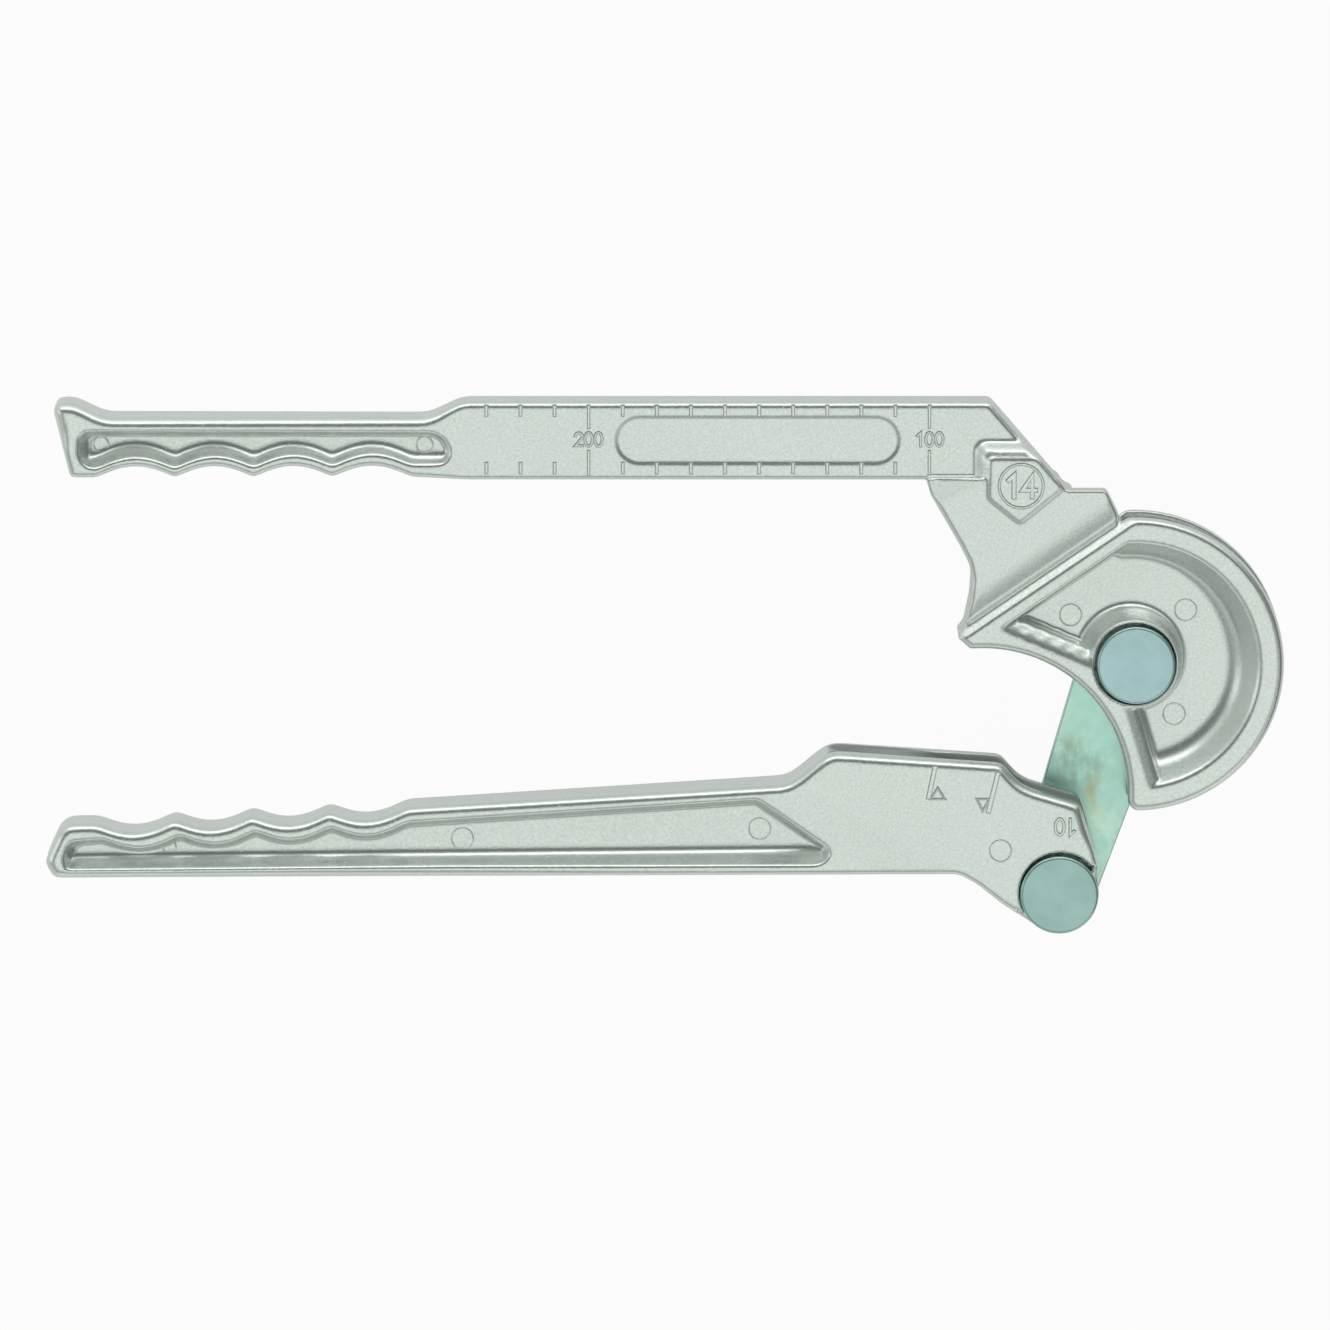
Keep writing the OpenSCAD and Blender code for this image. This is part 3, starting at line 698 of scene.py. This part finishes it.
def link_piece():
    """Plate round both pins, with straight sides along their common tangents."""
    edge = 0.35
    gap = math.degrees(math.asin((LINK_FORMER_R - LINK_LEVER_R) / LINK_LEN))
    side = 270 - math.degrees(LEAN)
    outline = np.vstack([arc((0, 0), LINK_FORMER_R, side + 90 + gap, side + 270 - gap, 60),
                         arc(PIVOT, LINK_LEVER_R, side - 90 - gap, side + 90 + gap, 60)])
    holes = [list(circle(c, TAIL_R + PLAY, 48)) for c in ((0, 0), PIVOT)]
    return plate("link", outline, holes, LINK_Z0, LINK_Z1, edge)


# Materials

def nodes_of(name):
    m = bpy.data.materials.new(name)
    m.use_nodes = True
    nt = m.node_tree
    shader = next(n for n in nt.nodes if n.type == "BSDF_PRINCIPLED")
    coords = nt.nodes.new("ShaderNodeTexCoord").outputs["Object"]
    return m, nt, shader, coords


def noise(nt, coords, size, detail=3.0, rough=0.55, stretch=(1, 1, 1)):
    """Noise with features of about this size in millimetres."""
    mp = nt.nodes.new("ShaderNodeMapping")
    mp.inputs["Scale"].default_value = [1000 / size / s for s in stretch]
    nt.links.new(coords, mp.inputs["Vector"])
    t = nt.nodes.new("ShaderNodeTexNoise")
    t.inputs["Scale"].default_value = 1.0
    t.inputs["Detail"].default_value = detail
    t.inputs["Roughness"].default_value = rough
    nt.links.new(mp.outputs["Vector"], t.inputs["Vector"])
    return t.outputs["Fac"]


def ramp(nt, fac, *stops):
    """Colour ramp from (position, colour or grey) stops."""
    r = nt.nodes.new("ShaderNodeValToRGB")
    e = r.color_ramp.elements
    while len(e) < len(stops):
        e.new(0.5)
    for el, (pos, c) in zip(e, stops):
        el.position = pos
        el.color = (*c, 1) if isinstance(c, tuple) else (c, c, c, 1)
    nt.links.new(fac, r.inputs["Fac"])
    return r.outputs["Color"]


def mixed(nt, fac, a, b, mode="MIX"):
    m = nt.nodes.new("ShaderNodeMix")
    m.data_type = "RGBA"
    m.blend_type = mode
    ins = {s.identifier: s for s in m.inputs}
    for key, v in (("Factor_Float", fac), ("A_Color", a), ("B_Color", b)):
        if hasattr(v, "is_linked"):
            nt.links.new(v, ins[key])
        else:
            ins[key].default_value = v if key == "Factor_Float" else (*v, 1)
    return next(o for o in m.outputs if o.identifier == "Result_Color")


def bumps(nt, shader, *layers):
    """Chain of bump nodes from (height, depth in millimetres, strength)."""
    last = None
    for height, dist, strength in layers:
        b = nt.nodes.new("ShaderNodeBump")
        b.inputs["Distance"].default_value = dist * MM
        b.inputs["Strength"].default_value = strength
        nt.links.new(height, b.inputs["Height"])
        if last:
            nt.links.new(last, b.inputs["Normal"])
        last = b.outputs["Normal"]
    nt.links.new(last, shader.inputs["Normal"])


def placed(nt, coords, location, scale, turn=0.0):
    """Coordinates measured from a place, in units of this scale."""
    mp = nt.nodes.new("ShaderNodeMapping")
    mp.vector_type = "TEXTURE"
    mp.inputs["Location"].default_value = location
    mp.inputs["Rotation"].default_value[2] = turn
    mp.inputs["Scale"].default_value = scale
    nt.links.new(coords, mp.inputs["Vector"])
    return mp.outputs["Vector"]


# Mask for the painted shade in the lever's groove
def in_groove(nt, coords):
    """One in the lever's groove, above its floor and between its walls, and zero elsewhere."""
    unit, below = 10, 1.7
    wall_in, wall_out, rise = 6.9, 7.4, 0.8
    start = (PIVOT + GROOVE_N * (FLOOR_H - below)) * MM
    sep = nt.nodes.new("ShaderNodeSeparateXYZ")
    scale = (unit * MM, unit * MM, unit * MM)
    nt.links.new(placed(nt, coords, (*start, 0), scale, -GROOVE_SLOPE), sep.inputs[0])
    across = nt.nodes.new("ShaderNodeMath")
    across.operation = "ABSOLUTE"
    nt.links.new(sep.outputs["Z"], across.inputs[0])
    between = ramp(nt, across.outputs[0], (wall_in / unit, 1.0), (wall_out / unit, 0.0))
    above = ramp(nt, sep.outputs["Y"], (0.0, 0.0), (rise / unit, 1.0))
    return mixed(nt, 1.0, between, above, "MULTIPLY")


def cast_metal(name, groove_shade=False):
    """Silvery casting with fine grain; on request the lever's groove gets painted shade, a darker colour,
    and a rougher finish.
    """
    silver, pale_silver = (0.865, 0.905, 0.875), (0.895, 0.93, 0.905)
    groove_shade_colour, groove_gloss = (0.38, 0.41, 0.40), (0.5, 0.5, 0.5)
    m, nt, s, co = nodes_of(name)
    s.inputs["Metallic"].default_value = 0.78
    cloud = noise(nt, co, size=26, detail=4)
    grain = noise(nt, co, size=0.9, detail=3)
    base = ramp(nt, cloud, (0.3, silver), (0.7, pale_silver))
    speck = ramp(nt, noise(nt, co, size=0.6, detail=3), (0.32, 0.84), (0.6, 1.0))
    base = mixed(nt, 0.7, base, speck, "MULTIPLY")
    gloss = ramp(nt, grain, (0.25, 0.18), (0.75, 0.28))
    if groove_shade:
        # Painted shade: the lever's groove gets a darker colour, and a higher roughness
        groove = in_groove(nt, co)
        base = mixed(nt, groove, base, groove_shade_colour)
        gloss = mixed(nt, groove, gloss, groove_gloss)
    nt.links.new(base, s.inputs["Base Color"])
    nt.links.new(gloss, s.inputs["Roughness"])
    swell = noise(nt, co, size=9, detail=2)
    dust = noise(nt, co, size=0.35, detail=2)
    bumps(nt, s, (swell, 0.16, 0.4), (grain, 0.06, 0.6), (dust, 0.03, 0.6))
    return m


def plated_steel(name, tint):
    """Blue plating, with each of its two blues multiplied by the tint."""
    blues = (0.475, 0.66, 0.69), (0.535, 0.735, 0.765)
    deep, pale = (tuple(a * b for a, b in zip(blue, tint)) for blue in blues)
    m, nt, s, co = nodes_of(name)
    s.inputs["Metallic"].default_value = 1.0
    cloud = noise(nt, co, size=9, detail=4)
    nt.links.new(ramp(nt, cloud, (0.3, deep), (0.7, pale)), s.inputs["Base Color"])
    grain = noise(nt, co, size=4, detail=2)
    nt.links.new(ramp(nt, grain, (0.3, 0.27), (0.7, 0.31)), s.inputs["Roughness"])
    bumps(nt, s, (noise(nt, co, size=6, detail=0), 0.03, 0.25))
    return m


# Stains on the link, then painted shade darkening its middle and a painted light patch brightening its
# lower end: place and size in millimetres, amount and colour
STAINS_AND_PAINTED_LIGHT = (((-19, -28), (7, 5), 0.5, (0.52, 0.50, 0.34)),
          ((-12, -42), (3.4, 11), 0.6, (0.62, 0.52, 0.26)),
          ((-27, -60), (9, 12), 0.5, (0.50, 0.62, 0.36)),
          # Painted shade: darker grey-green in the link's middle
          ((-18, -33), (16, 9), 0.8, (0.36, 0.54, 0.45)),
          # Painted light: brighter patch at the link's lower end
          ((-8.5, -54), (8, 13), 0.8, (0.74, 0.95, 0.81)))


def stain_and_painted_light(nt, coords, patches, tint, place, size, amount, colour):
    """The tint with a soft-edged, patchy spot over it, which is a real discolouration, painted shade or
    painted light, as the entry gives.
    """
    face_z, reach_z = -12.8, 20
    ball = nt.nodes.new("ShaderNodeTexGradient")
    ball.gradient_type = "SPHERICAL"
    location = (place[0] * MM, place[1] * MM, face_z * MM)
    scale = (size[0] * MM, size[1] * MM, reach_z * MM)
    nt.links.new(placed(nt, coords, location, scale), ball.inputs["Vector"])
    near = ramp(nt, ball.outputs["Fac"], (0.0, 0.0), (0.7, amount))
    cover = mixed(nt, 1.0, near, ramp(nt, patches, (0.38, 0.0), (0.6, 1.0)), "MULTIPLY")
    return mixed(nt, cover, tint, colour)


def chromated_steel():
    """Green to yellow plating of the link, with stains, painted shade in its middle and a painted light
    patch at its lower end.
    """
    teal, sea_green, green, yellow_green = ((0.47, 0.70, 0.645), (0.56, 0.85, 0.775),
                                            (0.59, 0.86, 0.735), (0.655, 0.84, 0.605))
    m, nt, s, co = nodes_of("chromated_link")
    s.inputs["Metallic"].default_value = 1.0
    wide = noise(nt, co, size=16, detail=4, rough=0.6, stretch=(1, 1.5, 1))
    tint = ramp(nt, wide, (0.30, teal), (0.45, sea_green), (0.58, green), (0.72, yellow_green))
    patches = noise(nt, co, size=3, detail=5, rough=0.65, stretch=(1, 1.8, 1))
    # Stains, then painted shade and painted light, laid over the tint
    for stain_or_painted_light in STAINS_AND_PAINTED_LIGHT:
        tint = stain_and_painted_light(nt, co, patches, tint, *stain_or_painted_light)
    nt.links.new(tint, s.inputs["Base Color"])
    grain = noise(nt, co, size=5, detail=2)
    nt.links.new(ramp(nt, grain, (0.3, 0.27), (0.7, 0.33)), s.inputs["Roughness"])
    bumps(nt, s, (noise(nt, co, size=8, detail=0), 0.03, 0.3))
    return m


def dark_steel():
    m, nt, s, co = nodes_of("oiled_spring_steel")
    s.inputs["Metallic"].default_value = 1.0
    cloud = noise(nt, co, size=3, detail=3)
    nt.links.new(ramp(nt, cloud, (0.3, 0.10), (0.7, 0.17)), s.inputs["Base Color"])
    grain = noise(nt, co, size=0.6, detail=3)
    nt.links.new(ramp(nt, grain, (0.3, 0.30), (0.7, 0.48)), s.inputs["Roughness"])
    bumps(nt, s, (grain, 0.02, 0.5))
    return m


# The lever's copy of the casting has painted shade in its groove
CAST, GROOVE_SHADED_CAST = cast_metal("cast_silver"), cast_metal("cast_silver_groove_shade", True)
# The lever's pin takes a darker, greener copy of the blue plating
ZINC, DARKER_ZINC = plated_steel("blue_zinc", (1, 1, 1)), plated_steel("green_zinc", (0.87, 0.89, 0.84))
LINK, DARK = chromated_steel(), dark_steel()


# Pieces on their bodies

def dress(ob, body, slot, material, *nodes):
    ob.data.materials.clear()
    ob.data.materials.append(material)
    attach(ob, body)
    if nodes:
        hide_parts(*nodes)
    return ob


dress(former_handle_piece(), "handle", "casting", CAST, "former_handle")
dress(slide_lever_piece(), "lever", "casting", GROOVE_SHADED_CAST, "slide_lever")
dress(link_piece(), "link", "link", LINK, "link_plate")

PIVOTS = (("former", (0, 0), FORMER_SEAT_Z, ZINC),
          ("lever", PIVOT, LEVER_SEAT_Z, DARKER_ZINC))
THRUST_EDGE, WASHER_EDGE = 0.2, 0.25
for name, centre, seat, zinc in PIVOTS:
    pin = turned_pin(name + "_pin_turned", centre, seat)
    dress(pin, "link", "pin", zinc, name + "_pin")
    thrust = washer(name + "_thrust", centre, PIN_R + PLAY, THRUST_R, LINK_Z1, LINK_Z1 + THRUST_T,
                    THRUST_EDGE)
    dress(thrust, "link", "washer", ZINC, name + "_thrust_washer")
    back_washer = washer(name + "_washer", centre, TAIL_R + PLAY, WASHER_R, WASHER_Z0, LINK_Z0,
                         WASHER_EDGE)
    dress(back_washer, "link", "washer", ZINC, name + "_back_washer")
    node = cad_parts[name + "_ring"]
    node.data.materials.clear()
    node.data.materials.append(DARK)


# Raised casting marks

def stroke_sides(p, closed):
    """Direction of a line at each point, and the way across it, longer at corners."""
    d = np.roll(p, -1, axis=0) - p
    d /= np.hypot(d[:, 0], d[:, 1])[:, None] + 1e-12
    before = np.roll(d, 1, axis=0)
    if not closed:
        d[-1] = d[-2]
        before[0] = d[0]
    side = (d + before) / np.maximum(1 + (d * before).sum(1), 0.25)[:, None]
    return d, np.stack([-side[:, 1], side[:, 0]], 1)


def ridges(name, strokes):
    """Low raised lines from (points, closed, width, face height) strokes, as one mesh."""
    rise, flank, sunk, least_top = 0.09, 0.36, 0.05, 0.12
    verts, faces = [], []
    for number, (points, closed, width, z) in enumerate(strokes):
        p = np.asarray(points, float)
        n = len(p)
        d, side = stroke_sides(p, closed)
        wide = width / 2
        top = max(wide - flank, least_top * wide)
        # Neighbouring strokes differ a little in height, so that their tops don't lie in one plane
        crest = rise + 0.008 * (number % 3)
        cut = ((-wide - sunk, -sunk), (-wide, 0), (-top, crest),
               (top, crest), (wide, 0), (wide + sunk, -sunk))
        base = len(verts)
        for i in range(n):
            for off, h in cut:
                q = p[i] + side[i] * off
                if not closed and i in (0, n - 1):
                    q = q + d[i] * (-1 if i == 0 else 1) * abs(off)
                verts.append((q[0] * MM, q[1] * MM, (z + h) * MM))
        for i in range(n if closed else n - 1):
            a, b = base + 6 * i, base + 6 * ((i + 1) % n)
            faces += [[a + k, a + k + 1, b + k + 1, b + k] for k in range(5)]
        if not closed:
            for a, turn in ((base, 1), (base + 6 * (n - 1), -1)):
                faces += [[a + k, a + k + 1, a + 4 - k, a + 5 - k][::-turn] for k in (0, 1)]
    ob = mesh_object(name, np.array(verts), faces)
    ob.data.polygons.foreach_set("use_smooth", np.zeros(len(ob.data.polygons), bool))
    return ob


def digit(ch):
    """Strokes of a digit one unit high, as (points, closed)."""
    if ch == "0":
        return [(circle((0, 0), 1, 28) * (0.27, 0.5) + (0.31, 0.5), True)]
    if ch == "1":
        return [(np.array([(0.14, 0.76), (0.38, 0.98), (0.38, 0.02)]), False)]
    if ch == "2":
        bow = arc((0.31, 0.72), 0.26, 170, -32, 14)
        return [(np.vstack([bow, [(0.06, 0.03), (0.58, 0.03)]]), False)]
    return [(np.array([(0.47, 0.02), (0.47, 0.97), (0.04, 0.32), (0.36, 0.32)]), False),
            (np.array([(0.5, 0.32), (0.62, 0.32)]), False)]


def lettering(text, centre, size, width, z, turn=0.0):
    """Strokes of a number, with its middle at centre."""
    advance, lead = 0.72, 0.05
    out = []
    wide = advance * size
    c, s = math.cos(turn), math.sin(turn)
    for i, ch in enumerate(text):
        for points, closed in digit(ch):
            q = points * size + ((i - len(text) / 2) * wide + lead * size, -size / 2)
            q = np.stack([q[:, 0] * c - q[:, 1] * s, q[:, 0] * s + q[:, 1] * c], 1) + centre
            out.append((q, closed, width, z))
    return out


# Picture scale: the bend axis in pixels, and pixels to a millimetre across, down and for height
AXIS_PX = (1136, 660)
PX_ACROSS, PX_DOWN, PX_HEIGHT = 3.4, 3.36, 0.5

# Rings left by ejector pins: pixel place, radius and height in millimetres
HANDLE_RINGS = ((1071, 615, 3.2, 3.5), (1186, 610, 3.2, 3.5), (1175, 714, 3.2, 3.5),
                (102, 445, 2.2, 5.25), (425, 445.5, 2.4, 5.25))
LEVER_RINGS = ((168.3, 847.6, 1.9, 5.25), (462, 839, 3.2, 5.15), (760, 829, 3.2, 5.15),
               (1001, 851, 3.2, SHOE_Z))

# Position marks on the lever, in pixels: a line and a triangle each
OUTER_LINE_PX, OUTER_TRIANGLE_PX = ((935, 768), (929, 797)), ((931, 799), (945, 799), (938, 788))
INNER_LINE_PX, INNER_TRIANGLE_PX = ((998, 774), (989, 811)), ((977, 799), (990, 799), (983, 811))
LEVER_NUMBER_PX = (1066, 827)
SEAL_PX = (1020.3, 487)


def spot(x_px, y_px, z):
    """Place on the object seen at this point of the picture, at height z."""
    return np.array([(x_px - AXIS_PX[0]) / PX_ACROSS, (AXIS_PX[1] + PX_HEIGHT * z - y_px) / PX_DOWN])


def ejector(x_px, y_px, r, z):
    return (circle(spot(x_px, y_px, z), r, 40), True, 0.5, z)


def scale_strokes():
    """Marks every ten millimetres along both edges of the beam, longer and numbered at the hundreds."""
    first_x, spacing, count = -190.9, 10, 14
    hundreds = {3: "200", 13: "100"}
    long_marks, long_width = ((76.4, 70.2), (63.0, 56.4)), 1.1
    short_marks, short_width = ((76.3, 73.8), (59.4, 56.8)), 1.2
    number_y, number_size, number_width = 66.6, 4.0, 1.0
    strokes = []
    for i in range(count):
        x = first_x + spacing * i
        lines, width = (long_marks, long_width) if i in hundreds else (short_marks, short_width)
        strokes += [([(x, y1), (x, y0)], False, width, BEAM_Z) for y1, y0 in lines]
        if i in hundreds:
            strokes += lettering(hundreds[i], (x, number_y), number_size, number_width, BEAM_Z)
    return strokes


def seal_strokes():
    """The tube's size in a ring on the neck."""
    ring_r, ring_width, number_size, number_width, shift = 6.45, 1.0, 6.6, 1.6, (-0.2, 0)
    seal = spot(*SEAL_PX, PAD_Z)
    ring = (circle(seal, ring_r, 64), True, ring_width, PAD_Z)
    return [ring] + lettering("14", seal + shift, number_size, number_width, PAD_Z)


def lever_strokes():
    """Ejector rings, position marks and the number on the lever, which stands on its head."""
    line_width, triangle_width, number_size, number_width = 1.6, 0.8, 4.8, 1.1
    strokes = [ejector(*ring) for ring in LEVER_RINGS]
    signs = ((OUTER_LINE_PX, False, line_width), (OUTER_TRIANGLE_PX, True, triangle_width),
             (INNER_LINE_PX, False, line_width), (INNER_TRIANGLE_PX, True, triangle_width))
    for points, closed, width in signs:
        strokes.append(([spot(a, b, SHOE_Z) for a, b in points], closed, width, SHOE_Z))
    number_place = spot(*LEVER_NUMBER_PX, SHOE_Z)
    return strokes + lettering("10", number_place, number_size, number_width, SHOE_Z, math.pi)


dress(ridges("scale_marks", scale_strokes()), "handle", "casting", CAST)
dress(ridges("size_number", seal_strokes()), "handle", "casting", CAST)
dress(ridges("handle_ejector_marks", [ejector(*ring) for ring in HANDLE_RINGS]), "handle", "casting", CAST)
dress(ridges("lever_marks", lever_strokes()), "lever", "casting", CAST)


# Floor, light and camera

MIDDLE = (-0.14, 0, 0)


def times(nt, value, factor, added=None):
    """A value times a factor, plus another value where one is given."""
    m = nt.nodes.new("ShaderNodeMath")
    m.operation = "MULTIPLY" if added is None else "MULTIPLY_ADD"
    nt.links.new(value, m.inputs[0])
    m.inputs[1].default_value = factor
    if hasattr(added, "is_linked"):
        nt.links.new(added, m.inputs[2])
    elif added is not None:
        m.inputs[2].default_value = added
    return m.outputs[0]


def floor():
    """Pale floor that glows to the camera, and a little in reflections."""
    size, gap, grey, rough = 6, 0.0002, 0.92, 0.9
    glow_seen, glow_mirrored = 0.95, 0.3
    bpy.ops.mesh.primitive_plane_add(size=size, location=(MIDDLE[0], MIDDLE[1], TAIL_Z * MM - gap))
    ob = bpy.context.object
    ob.name = "floor"
    m, nt, s, co = nodes_of("pale_floor")
    s.inputs["Base Color"].default_value = (grey, grey, grey, 1)
    s.inputs["Roughness"].default_value = rough
    glow = nt.nodes.new("ShaderNodeEmission")
    glow.inputs["Color"].default_value = (1, 1, 1, 1)
    path = nt.nodes.new("ShaderNodeLightPath")
    mirrored = times(nt, path.outputs["Is Glossy Ray"], glow_mirrored)
    share = times(nt, path.outputs["Is Camera Ray"], glow_seen, mirrored)
    mix = nt.nodes.new("ShaderNodeMixShader")
    nt.links.new(share, mix.inputs[0])
    nt.links.new(s.outputs[0], mix.inputs[1])
    nt.links.new(glow.outputs[0], mix.inputs[2])
    out = next(n for n in nt.nodes if n.type == "OUTPUT_MATERIAL")
    nt.links.new(mix.outputs[0], out.inputs["Surface"])
    ob.data.materials.append(m)


def sky(nt, height, *stops):
    """Slightly green greys from (height, grey) stops."""
    red, blue = 0.92, 0.94
    return ramp(nt, height, *((p, (red * grey, grey, blue * grey)) for p, grey in stops))


def studio():
    """Soft studio, bright overhead, with darker bands to the rear, the front and the right."""
    world = bpy.data.worlds.new("studio")
    bpy.context.scene.world = world
    world.use_nodes = True
    nt = world.node_tree
    back = nt.nodes["Background"]
    co = nt.nodes.new("ShaderNodeTexCoord").outputs["Generated"]
    turn = nt.nodes.new("ShaderNodeMapping")
    turn.inputs["Rotation"].default_value[0] = -TILT
    nt.links.new(co, turn.inputs["Vector"])
    sep = nt.nodes.new("ShaderNodeSeparateXYZ")
    nt.links.new(turn.outputs["Vector"], sep.inputs[0])
    height = sep.outputs["Z"]
    to_right = times(nt, sep.outputs["X"], 0.5, 0.5)
    to_rear = times(nt, sep.outputs["Y"], 0.5, 0.5)
    overhead = (1.0, 0.98)
    rear = sky(nt, height, (0.0, 0.94), (0.45, 0.94), (0.66, 0.15), (0.92, 0.06), (0.97, 0.78), overhead)
    front = sky(nt, height, (0.0, 0.80), (0.45, 0.80), (0.70, 0.52), (0.89, 0.24), (0.965, 0.80), overhead)
    right = sky(nt, height, (0.0, 0.90), (0.5, 0.90), (0.74, 0.66), (0.90, 0.34), (0.965, 0.80), overhead)
    level = mixed(nt, ramp(nt, to_right, (0.58, 0.0), (0.70, 1.0)), front, right)
    level = mixed(nt, ramp(nt, to_rear, (0.5, 0.0), (0.64, 1.0)), level, rear)
    sides = ramp(nt, to_right, (0.0, 0.55), (0.22, 0.85), (0.4, 1.0), (0.81, 1.0), (0.91, 0.12))
    nt.links.new(mixed(nt, 1.0, level, sides, "MULTIPLY"), back.inputs["Color"])


def softbox(name, place, target, size, watts):
    li = bpy.data.lights.new(name, "AREA")
    li.shape = "RECTANGLE"
    li.size, li.size_y = size
    li.energy = watts
    ob = bpy.data.objects.new(name, li)
    ob.location = place
    ob.rotation_euler = (Vector(target) - Vector(place)).to_track_quat("-Z", "Y").to_euler()
    bpy.context.scene.collection.objects.link(ob)


def camera():
    """Far camera at the picture's tilt, framing the picture's width at the height of the faces."""
    distance, face_z, width, sensor = 4.0, 0.01, 0.391, 36
    target = Vector((-138.5, -1.5, 0)) * MM
    away = Vector((0, math.sin(TILT), math.cos(TILT)))
    up = Vector((0, math.cos(TILT), -math.sin(TILT)))
    cam = bpy.data.cameras.new("camera")
    cam.sensor_width = sensor
    cam.lens = sensor * (distance - face_z) / width
    cam.clip_end = 20
    eye = bpy.data.objects.new("camera", cam)
    basis = Matrix((Vector((1, 0, 0)), up, away)).transposed().to_4x4()
    eye.matrix_world = Matrix.Translation(target + away * distance) @ basis
    bpy.context.scene.collection.objects.link(eye)
    bpy.context.scene.camera = eye


floor()
studio()
softbox("rear", (-0.2, 1.3, 0.7), MIDDLE, (1.6, 0.5), 2.3)
softbox("left", (-1.5, 0.1, 0.7), MIDDLE, (0.5, 1.2), 1.0)
camera()
bpy.context.scene.view_settings.view_transform = "Standard"
